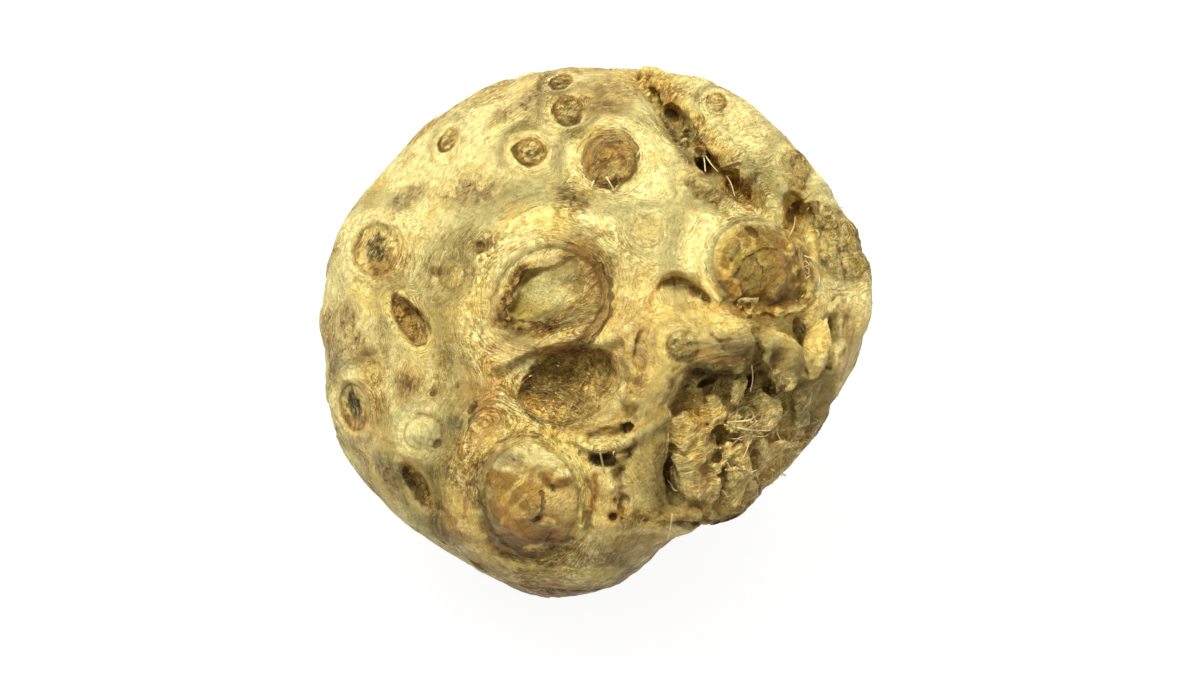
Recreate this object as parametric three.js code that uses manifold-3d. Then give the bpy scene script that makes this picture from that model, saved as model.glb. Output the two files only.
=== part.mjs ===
// A celeriac root lying on its side: one knobbly globe with trimmed root bosses, a crown where the leaves
// were cut off, and a hollow full of thick twisted roots at the root end. It is one piece, so it is one mesh.
// Millimetres, +Z up, origin at the centre of the bounding box's underside, on the flat spot it rests on.
//
// The forms are laid out in the face frame, whose origin is the globe's centre: x runs across the face,
// y up it and z out of it. The face leans back, so that it looks up from the horizontal by FACE_LOOKS_UP.
// Places are given as they look from VIEW_DISTANCE in front of the centre, where near things look larger.
import * as THREE from "three";
import { mergeVertices } from "three/addons/utils/BufferGeometryUtils.js";
import Module from "manifold-3d";

// Driving dimensions
const HALF_WIDTH = 62; // across the face
const HALF_HEIGHT = 61;
const HALF_DEPTH = 54;
const BOXINESS = 2.35; // 2 is an ellipsoid; more makes the face flatter and its edge rounder
const FACE_LOOKS_UP = 40; // degrees
const VIEW_DISTANCE = 537;
const FLAT_SPOT_DEPTH = 2.2; // how much the underside is squashed flat where it rests
const GLOBE_DETAIL = 16; // each icosahedron edge is cut into this many plus one
const ROOT_SIDES = 10;
const ROOT_STEP = 4; // distance between the rings of a root
const FRAMES_PER_RING = 4; // how finely a root's curve is followed between its rings
const CUT_SIZE = 400; // side of the block that cuts the flat spot
const MERGE_DISTANCE = 1e-4; // vertices closer than this are one vertex

const wasm = await Module();
wasm.setup();

// Rounded swellings of the globe (height below 0 is a hollow). at is a place in the face frame, or one
// straight above or below it, seen from the globe's centre.
const SWELLINGS = [
  { name: "cut boss", at: [-11, 9, 54], radius: 17, height: 3.5 },
  { name: "peeling boss", at: [-15, -37, 45], radius: 17, height: 4.5 },
  { name: "scooped scar", at: [-6, -12, 54], radius: 15, height: -6 },
  { name: "brown boss", at: [36, 15, 46], radius: 15, height: 7 },
  { name: "button", at: [3, 40, 46], radius: 10, height: 2 },
  { name: "top dip", at: [9, 60, 16], radius: 16, height: -1.8 },
  { name: "upper right bump", at: [31, 56, 14], radius: 12, height: 1.5 },
  { name: "upper left dip", at: [-46, 39, 10], radius: 12, height: -1.6 },
  { name: "saddle", at: [18, 24, 50], radius: 17, height: -1.5 },
  { name: "pale boss", at: [-43, -23, 34], radius: 10, height: 1.5 },
  { name: "left shoulder", at: [-54, 10, 20], radius: 30, height: 2 },
  { name: "lower left bump", at: [-58, -23, 10], radius: 20, height: 2 },
  { name: "lower dip", at: [-34, -52, 10], radius: 18, height: -1.5 },
  { name: "heel", at: [-14, -60, 6], radius: 14, height: 0.8 },
  { name: "grey lump", at: [56, 20, 14], radius: 15, height: 1.5 },
  { name: "right cheek", at: [60, 4, 4], radius: 22, height: -1 },
  { name: "root hollow", at: [44, -34, 6], radius: 48, height: -9 },
  { name: "under hollow", at: [24, -52, 2], radius: 38, height: -10.5 },
  { name: "notch", at: [18, -50, 26], radius: 20, height: -5 },
  { name: "back notch", at: [22, -46, -26], radius: 24, height: -4 },
  { name: "crown swelling", at: [-36, 20, -42], radius: 34, height: 3 },
  { name: "crown dish", at: [-36, 20, -42], radius: 20, height: -5 },
  { name: "back boss high", at: [14, 30, -48], radius: 18, height: 2 },
  { name: "back boss low", at: [8, -18, -56], radius: 22, height: 2 },
  { name: "back boss right", at: [46, 18, -32], radius: 18, height: 3.5 },
  { name: "back dent", at: [30, 8, -50], radius: 20, height: -3 },
  { name: "left dent", at: [-50, -16, -26], radius: 20, height: -2.5 },
];

// Ridges and clefts that run along the globe's surface through these places.
const FURROWS = [
  {
    name: "outer ridge",
    path: [[12, 58, 20], [33, 49, 24], [46, 36, 26], [55, 22, 22]],
    radius: 12,
    height: 2.5,
  },
  {
    name: "upper cleft",
    path: [[13, 56, 24], [20, 46, 36], [29, 37, 40], [40, 29, 38], [48, 24, 32]],
    radius: 6.5,
    height: -7,
  },
  {
    name: "cleft above the arm",
    path: [[12, 11, 53], [19, 9, 52], [27, 6, 50]],
    radius: 5,
    height: -3.5,
  },
];

// Thick roots and knobs: each is a chain of [x, y, z, radius] in the face frame, round at both ends.
const ROOTS = {
  trunk: [[13, 4, 50, 7], [13, -8, 50, 9], [12, -20, 48, 7.5], [11, -31, 44, 6], [11, -40, 37, 5]],
  arm: [[13, -3, 50, 8], [22, 0, 51, 8], [32, 0, 48, 8.5], [41, -2, 43, 7.5], [48, -5, 37, 6], [51, -10, 32, 5]],
  armKnuckle: [[40, -5, 42, 6], [42, -8, 44, 6.5], [43, -11, 39, 5]],
  outerFinger: [[51, 4, 35, 5], [52, -4, 34, 5.5], [51, -10, 31, 5]],
  cheekLobe: [[56, 13, 20, 7.5], [54.5, 2, 22, 8], [51.5, -9, 21, 6.5]],
  sieveBump: [[3, -33, 44, 6], [2, -40, 41, 6.5]],
  largeKnob: [[23, -24, 40, 7.5], [23, -32, 39, 8]],
  lowKnob: [[31, -30, 32, 7.5], [31, -35, 30, 6.5]],
  cleftKnob: [[17, -36, 35, 6], [18, -38, 31, 5]],
  lowestKnob: [[25, -37, 27, 5], [27, -39, 24, 4.5]],
  sideKnob: [[37, -22, 28, 7], [39.5, -26, 24, 5]],
  farKnob: [[42, -16, 20, 7.5], [46, -19, 17, 5]],
  hollowFloor: [[28, -14, 38, 8], [36, -17, 32, 8]],
  backFinger: [[41, -18, -2, 7.5], [47, -15, -8, 6], [52, -8, -14, 5]],
  underFinger: [[26, -34, 14, 7], [31, -34, 6, 7], [32, -34, -8, 5.5]],
};

// A place in the face frame from where it seems to be.
function fromView([x, y, z]) {
  const shrink = 1 - z / VIEW_DISTANCE;
  return new THREE.Vector3(x * shrink, y * shrink, z);
}

// The globe's plain outline: the distance from its centre to its surface in a direction.
function plainRadius(direction) {
  const across = Math.hypot(direction.x / HALF_WIDTH, direction.y / HALF_HEIGHT);
  const along = Math.abs(direction.z) / HALF_DEPTH;
  return (across ** BOXINESS + along ** BOXINESS) ** (-1 / BOXINESS);
}

function onPlainGlobe(at) {
  const direction = fromView(at).normalize();
  return direction.multiplyScalar(plainRadius(direction));
}

// 1 at distance 0, falling smoothly to 0 at distance 1.
function falloff(distance) {
  return distance < 1 ? (1 - distance * distance) ** 2 : 0;
}

const swellings = SWELLINGS.map((form) => ({ ...form, centre: onPlainGlobe(form.at) }));
const furrows = FURROWS.map((form) => ({ ...form, points: form.path.map(onPlainGlobe) }));

// The shortest distance from a point to a chain of straight segments.
function distanceToChain(point, chain) {
  const nearest = new THREE.Vector3();
  let shortest = Infinity;
  for (let i = 1; i < chain.length; i++) {
    new THREE.Line3(chain[i - 1], chain[i]).closestPointToPoint(point, true, nearest);
    shortest = Math.min(shortest, nearest.distanceTo(point));
  }
  return shortest;
}

function globeRadius(direction) {
  const plain = plainRadius(direction);
  const point = direction.clone().multiplyScalar(plain);
  let radius = plain;
  for (const form of swellings) {
    radius += form.height * falloff(point.distanceTo(form.centre) / form.radius);
  }
  for (const form of furrows) {
    radius += form.height * falloff(distanceToChain(point, form.points) / form.radius);
  }
  return radius;
}

// A closed mesh with merged vertices becomes a solid; flat triangles at a pole are dropped.
function toSolid(geometry) {
  const bare = geometry.clone();
  bare.deleteAttribute("normal");
  bare.deleteAttribute("uv");
  const merged = mergeVertices(bare, MERGE_DISTANCE);
  const corners = merged.index.array;
  const kept = [];
  for (let i = 0; i < corners.length; i += 3) {
    const [a, b, c] = corners.slice(i, i + 3);
    if (a !== b && b !== c && c !== a) kept.push(a, b, c);
  }
  const mesh = new wasm.Mesh({
    numProp: 3,
    vertProperties: new Float32Array(merged.attributes.position.array),
    triVerts: new Uint32Array(kept),
  });
  return new wasm.Manifold(mesh);
}

function toGeometry(solid) {
  const mesh = solid.getMesh();
  const geometry = new THREE.BufferGeometry();
  geometry.setAttribute("position", new THREE.BufferAttribute(mesh.vertProperties, 3));
  geometry.setIndex(new THREE.BufferAttribute(mesh.triVerts, 1));
  geometry.computeVertexNormals();
  return geometry;
}

function makeGlobe() {
  const geometry = new THREE.IcosahedronGeometry(1, GLOBE_DETAIL);
  const position = geometry.attributes.position;
  const direction = new THREE.Vector3();
  for (let i = 0; i < position.count; i++) {
    direction.fromBufferAttribute(position, i).normalize();
    const radius = globeRadius(direction);
    position.setXYZ(i, direction.x * radius, direction.y * radius, direction.z * radius);
  }
  return geometry;
}

// A root: a lathe of its radius along its length, bent along its curve.
function makeRoot(chain) {
  const centres = chain.map(fromView);
  const curve = new THREE.CatmullRomCurve3(centres, false, "centripetal");
  const length = curve.getLength();
  const startRadius = chain[0][3];
  const endRadius = chain[chain.length - 1][3];
  const whole = startRadius + length + endRadius;
  const steps = Math.ceil(whole / ROOT_STEP);

  const radiusAt = (share) => {
    const place = THREE.MathUtils.clamp(share, 0, 1) * (chain.length - 1);
    const i = Math.min(Math.floor(place), chain.length - 2);
    return THREE.MathUtils.lerp(chain[i][3], chain[i + 1][3], place - i);
  };
  // Half a circle at each end, and the chain's own radii in between.
  const profile = [];
  for (let i = 0; i <= steps; i++) {
    const turn = (i / steps) * Math.PI;
    const along = startRadius + length / 2 - (whole / 2) * Math.cos(turn);
    const before = Math.max(0, startRadius - along) / startRadius;
    const after = Math.max(0, along - startRadius - length) / endRadius;
    const round = Math.sqrt(Math.max(0, 1 - before * before - after * after));
    profile.push(new THREE.Vector2(i % steps ? radiusAt((along - startRadius) / length) * round : 0, along));
  }
  const geometry = new THREE.LatheGeometry(profile, ROOT_SIDES);

  const frameCount = steps * FRAMES_PER_RING;
  const frames = curve.computeFrenetFrames(frameCount, false);
  const position = geometry.attributes.position;
  for (let i = 0; i < position.count; i++) {
    const along = position.getY(i) - startRadius;
    const share = THREE.MathUtils.clamp(along / length, 0, 1);
    const frame = Math.round(share * frameCount);
    const centre = curve.getPointAt(share);
    centre.addScaledVector(frames.tangents[frame], along - share * length);
    centre.addScaledVector(frames.normals[frame], position.getX(i));
    centre.addScaledVector(frames.binormals[frame], -position.getZ(i));
    position.setXYZ(i, centre.x, centre.y, centre.z);
  }
  return geometry;
}

// The underside is squashed flat where it rests.
function cutFlatSpot(solid) {
  const lowest = solid.boundingBox().min[2];
  const block = new THREE.BoxGeometry(CUT_SIZE, CUT_SIZE, CUT_SIZE);
  block.translate(0, 0, lowest + FLAT_SPOT_DEPTH - CUT_SIZE / 2);
  return solid.subtract(toSolid(block));
}

function makeCeleriac() {
  const lean = THREE.MathUtils.degToRad(90 - FACE_LOOKS_UP);
  const leaning = (geometry) => toSolid(geometry.rotateX(lean));
  let solid = leaning(makeGlobe());
  for (const chain of Object.values(ROOTS)) {
    solid = solid.add(leaning(makeRoot(chain)));
  }
  const geometry = toGeometry(cutFlatSpot(solid));
  geometry.computeBoundingBox();
  const { min, max } = geometry.boundingBox;
  geometry.translate(-(min.x + max.x) / 2, -(min.y + max.y) / 2, -min.z);
  return geometry;
}

const skin = new THREE.MeshStandardMaterial({ color: 0xd8c184, roughness: 0.6, metalness: 0 });

const celeriac = new THREE.Mesh(makeCeleriac(), skin);
celeriac.name = "celeriac_root";

const part = new THREE.Group();
part.add(celeriac);

export default part;
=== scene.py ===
"""The looks of a celeriac root: skin, scars, root tangle and rootlets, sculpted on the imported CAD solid.

The CAD solid gives the large forms. Everything finer is sculpted and painted here in the face frame:
millimetres, origin at the globe's centre, x across the face, y up it and z out of it.
"""
import itertools
import math

import bpy
import numpy as np
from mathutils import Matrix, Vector
from mathutils.bvhtree import BVHTree


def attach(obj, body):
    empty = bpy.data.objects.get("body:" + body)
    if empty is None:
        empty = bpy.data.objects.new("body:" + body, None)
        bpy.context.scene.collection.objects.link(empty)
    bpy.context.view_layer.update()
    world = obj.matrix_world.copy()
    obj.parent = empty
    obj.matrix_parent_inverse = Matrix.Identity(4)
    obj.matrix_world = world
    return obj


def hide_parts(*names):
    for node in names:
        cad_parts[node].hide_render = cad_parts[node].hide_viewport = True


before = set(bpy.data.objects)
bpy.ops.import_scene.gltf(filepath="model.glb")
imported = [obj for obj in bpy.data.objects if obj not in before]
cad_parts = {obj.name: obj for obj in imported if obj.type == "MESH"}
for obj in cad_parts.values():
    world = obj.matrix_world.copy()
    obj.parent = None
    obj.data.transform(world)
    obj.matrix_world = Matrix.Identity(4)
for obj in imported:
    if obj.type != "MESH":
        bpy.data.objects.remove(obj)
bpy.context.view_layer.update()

# ---------------------------------------------------------------- the face frame

MILLI = 0.001
FACE_LOOKS_UP = math.radians(40)
GLOBE_CENTRE = np.array((0.77, 1.12, 58.88))  # in the row frame, in millimetres
FACE_AXES = np.array((
    (1, 0, 0),
    (0, math.sin(FACE_LOOKS_UP), math.cos(FACE_LOOKS_UP)),
    (0, -math.cos(FACE_LOOKS_UP), math.sin(FACE_LOOKS_UP)),
))
ROOT_AXIS = np.array((0.65, -0.33, 0.68))  # from the crown to the root tangle
ROOT_AXIS = ROOT_AXIS / np.linalg.norm(ROOT_AXIS)
TANGLE_CENTRE = np.array((29, -20, 36))
FIBRES_ACROSS = np.array((-0.55, 0.80, 0.25))  # across the tangle's fibres, which run up to the right
VIEW_DISTANCE = 537.0
EYE = np.array((0.7, -1.0, VIEW_DISTANCE))  # where the camera stands
FAR = 200.0  # well outside the root, where rays start

BODY_VOXEL = 1.0
FORM_VOXEL = 0.6
SKIN_VOXEL = 0.52
FACE_DETAIL = 1.35  # how much finer the skin is on the face than at the back
MOST_TRIANGLES = 195_000  # in one piece
THINNEST_LINE = 0.36  # the half width of the thinnest line that the skin's faces can show
FIRST_MARK_SEED = 100
MARK_SEED_STEP = 20  # each mark's own noises use the seeds in between

# How far the sculpted skin may stand out of the CAD solid: at the outline, more of it on the face, and the
# share of anything beyond that is kept.
OUTLINE_GROWTH = 0.4
FACE_GROWTH = 6.0
GROWTH_KEPT = 0.3


def to_face(row_metres):
    return (row_metres / MILLI - GLOBE_CENTRE) @ FACE_AXES.T


def to_row(face_mm):
    return (face_mm @ FACE_AXES + GLOBE_CENTRE) * MILLI


def from_view(rows):
    """Chains of [x, y, z, radius] from how they look to how they are: near things look larger."""
    placed = []
    for x, y, z, radius in rows:
        shrink = 1 - z / VIEW_DISTANCE
        placed.append((x * shrink, y * shrink, z, radius))
    return placed


def as_seen(points):
    """Where the camera sees points, as (x, y) in the plane through the globe's centre."""
    return EYE[:2] + (points[:, :2] - EYE[:2]) * (VIEW_DISTANCE / (VIEW_DISTANCE - points[:, 2:]))


# ---------------------------------------------------------------- small maths

def unit(v):
    return v / np.linalg.norm(v, axis=-1, keepdims=True)


def ease(low, high, x):
    """0 up to low, 1 from high, smooth between; high may be the smaller one."""
    t = np.clip((x - low) / (high - low), 0, 1)
    return t * t * (3 - 2 * t)


def bell(x, centre, width):
    return np.exp(-((x - centre) / width) ** 2)


def hashed(cells, seed):
    """A steady value from -1 to 1 for each row of whole numbers."""
    h = np.full(len(cells), 2166136261 + seed * 7919, np.uint32)
    for column in cells.T:
        h = (h ^ column.astype(np.int64).astype(np.uint32)) * np.uint32(2654435761)
        h ^= h >> np.uint32(15)
        h = h * np.uint32(2246822519)
        h ^= h >> np.uint32(13)
    return h.astype(np.float64) / 2147483648.0 - 1


def noise(points, size, seed=0):
    """Smooth value noise from -1 to 1 in any number of dimensions, with cells of that size."""
    place = points / size + 0.37 * seed
    base = np.floor(place).astype(np.int64)
    f = place - base
    f = f * f * f * (f * (f * 6 - 15) + 10)
    total = np.zeros(len(points))
    for corner in itertools.product((0, 1), repeat=points.shape[1]):
        weight = np.prod(np.where(corner, f, 1 - f), axis=1)
        total += weight * hashed(base + np.array(corner), seed)
    return total


def rough(points, size, seed=0, octaves=3):
    """Noise with finer and weaker layers added."""
    total = sum(noise(points, size / 2 ** k, seed + k) / 1.7 ** k for k in range(octaves))
    return total / sum(1.7 ** -k for k in range(octaves))


def along_grain(points, flow, length, width, seed=0):
    """Noise drawn out along the lines of equal flow."""
    return noise(np.column_stack((points / length, flow / width)), 1.0, seed)


def near_chain(points, chain):
    """The distance to a chain of segments, and how far along it the nearest point is, from 0 to 1."""
    chain = np.array(chain, float)
    best = np.full(len(points), 1e9)
    share = np.zeros(len(points))
    for i in range(len(chain) - 1):
        step = chain[i + 1] - chain[i]
        t = np.clip(((points - chain[i]) @ step) / (step @ step), 0, 1)
        distance = np.linalg.norm(points - chain[i] - t[:, None] * step, axis=1)
        closer = distance < best
        best = np.where(closer, distance, best)
        share = np.where(closer, (i + t) / (len(chain) - 1), share)
    return best, share


# ---------------------------------------------------------------- meshes as arrays

def mesh_from(name, points, faces):
    mesh = bpy.data.meshes.new(name)
    mesh.from_pydata(points.tolist(), [], faces.tolist())
    mesh.update()
    return mesh


def arrays_from(mesh):
    """(points, faces); all faces have the same number of corners."""
    points = np.empty(len(mesh.vertices) * 3, np.float32)
    mesh.vertices.foreach_get("co", points)
    corners = np.empty(len(mesh.loops), np.int32)
    mesh.loops.foreach_get("vertex_index", corners)
    return points.reshape(-1, 3).astype(float), corners.reshape(len(mesh.polygons), -1)


def voxel_remesh(points, faces, voxel):
    """One closed skin of quads round everything."""
    mesh = mesh_from("working", points, faces)
    obj = bpy.data.objects.new("working", mesh)
    bpy.context.scene.collection.objects.link(obj)
    modifier = obj.modifiers.new("remesh", "REMESH")
    modifier.mode = "VOXEL"
    modifier.voxel_size = voxel
    evaluated = obj.evaluated_get(bpy.context.evaluated_depsgraph_get())
    result = arrays_from(evaluated.to_mesh())
    evaluated.to_mesh_clear()
    bpy.data.objects.remove(obj)
    bpy.data.meshes.remove(mesh)
    return result


DEPTHS = np.linspace(-80, 80, 400)
STRETCH = 1 + (FACE_DETAIL - 1) * ease(-25, 20, DEPTHS)


def skin_remesh(points, faces):
    """A voxel remesh with smaller faces at the front: it works on points that are stretched more there."""
    stretched = points * np.interp(points[:, 2], DEPTHS, STRETCH)[:, None]
    stretched, faces = voxel_remesh(stretched, faces, SKIN_VOXEL)
    return stretched / np.interp(stretched[:, 2], DEPTHS * STRETCH, STRETCH)[:, None], faces


class Smoother:
    """Averages values over each vertex's neighbours."""

    def __init__(self, faces, count):
        pairs = np.concatenate([faces[:, (i, i - 1)] for i in range(faces.shape[1])])
        low, high = pairs.min(1).astype(np.int64), pairs.max(1)
        pairs = np.unique(low * count + high)
        self.a, self.b = pairs // count, pairs % count
        self.count = count
        self.degree = np.maximum(np.bincount(np.r_[self.a, self.b], minlength=count), 1)

    def once(self, values):
        columns = values.reshape(self.count, -1)
        out = np.empty_like(columns)
        for k, v in enumerate(columns.T):
            total = np.bincount(self.a, v[self.b], self.count) + np.bincount(self.b, v[self.a], self.count)
            out[:, k] = total / self.degree
        return out.reshape(values.shape)

    def run(self, values, times, strength=0.5):
        for _ in range(times):
            values = values + strength * (self.once(values) - values)
        return values


def normals_of(points, faces):
    """Vertex normals of a mesh of quads or triangles."""
    across = points[faces[:, 2]] - points[faces[:, 0]]
    other = points[faces[:, -1]] - points[faces[:, 1]]
    face_normals = np.cross(across, other)
    total = np.zeros_like(points)
    for corner in faces.T:
        for k in range(3):
            total[:, k] += np.bincount(corner, face_normals[:, k], len(points))
    return total / np.maximum(np.linalg.norm(total, axis=1, keepdims=True), 1e-9)


def smooth_rows(rows, step):
    """Points on a Catmull-Rom curve through the rows."""
    padded = np.vstack((2 * rows[0] - rows[1], rows, 2 * rows[-1] - rows[-2]))
    curve = []
    for p0, p1, p2, p3 in zip(padded, padded[1:], padded[2:], padded[3:]):
        count = max(2, int(np.linalg.norm(p2[:3] - p1[:3]) / step))
        for t in np.arange(count) / count:
            curve.append(0.5 * (2 * p1 + (p2 - p0) * t + (2 * p0 - 5 * p1 + 4 * p2 - p3) * t * t
                                + (3 * p1 - p0 - 3 * p2 + p3) * t ** 3))
    return np.array(curve + [rows[-1]])


CAP = ((0.5, 0.85), (0.85, 0.5), (0.98, 0.12))  # (how far out, how wide) along a rounded end, in radii


def tube(chain, sides=8, step=0.9):
    """A closed tapering tube through [x, y, z, radius] rows, round at both ends, as points and quads."""
    rows = smooth_rows(np.array(chain, float), step)
    tangents = unit(np.gradient(rows[:, :3], axis=0))
    start = [(*(rows[0, :3] - tangents[0] * rows[0, 3] * out), rows[0, 3] * wide) for out, wide in CAP]
    end = [(*(rows[-1, :3] + tangents[-1] * rows[-1, 3] * out), rows[-1, 3] * wide) for out, wide in CAP]
    rows = np.vstack((start[::-1], rows, end))
    centres, radii = rows[:, :3], rows[:, 3]
    tangents = unit(np.gradient(centres, axis=0))
    turns = np.arange(sides) * 2 * math.pi / sides
    side = np.cross(tangents[0], (0.31, 0.53, 0.79))
    rings = []
    for centre, tangent, radius in zip(centres, tangents, radii):
        side = unit(side - tangent * (side @ tangent))
        other = np.cross(tangent, side)
        rings.append(centre + radius * (np.outer(np.cos(turns), side) + np.outer(np.sin(turns), other)))
    first, last = len(rings) * sides, len(rings) * sides + 1
    points = np.vstack(rings + [centres[:1], centres[-1:]])
    k = np.arange(sides)
    following = (k + 1) % sides
    band = np.column_stack((k, following, following + sides, k + sides))
    quads = [band + i * sides for i in range(len(rings) - 1)]
    top = (len(rings) - 1) * sides
    even = k[::2]
    skipping = (even + 2) % sides
    quads.append(np.column_stack((np.full(len(even), first), skipping, even + 1, even)))
    quads.append(np.column_stack((np.full(len(even), last), top + even, top + even + 1, top + skipping)))
    return points, np.vstack(quads)


def joined(parts):
    """Several (points, quads) as one."""
    starts = np.cumsum([0] + [len(points) for points, _ in parts])
    return np.vstack([p for p, _ in parts]), np.vstack([f + s for (_, f), s in zip(parts, starts)])


# ---------------------------------------------------------------- roots

# The knobs round the outline of the root end, a little slimmer than in the CAD solid: [x, y, z, radius].
THICK_ROOTS = {
    "cheek_lobe": [(56, 13, 20, 7.5), (54.5, 2, 22, 7.5), (51.5, -9, 21, 6)],
    "sieve_bump": [(3, -33, 44, 6), (2, -40, 41, 6.5)],
    "low_knob": [(31, -30, 30, 6.5), (31, -35, 28, 6)],
    "cleft_knob": [(17, -36, 33, 5), (18, -38, 30, 5)],
    "lowest_knob": [(25, -37, 27, 5), (27, -39, 24, 4.5)],
    "side_knob": [(37, -22, 26, 6), (38.5, -25, 23, 4.5)],
    "far_knob": [(42, -16, 18, 7), (45, -18.5, 16, 5)],
    "back_finger": [(41, -18, -2, 7), (47, -15, -8, 5.5), (52, -8, -14, 4.5)],
    "under_finger": [(26, -34, 14, 6.5), (31, -34, 6, 6), (32, -34, -8, 5)],
}

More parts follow.
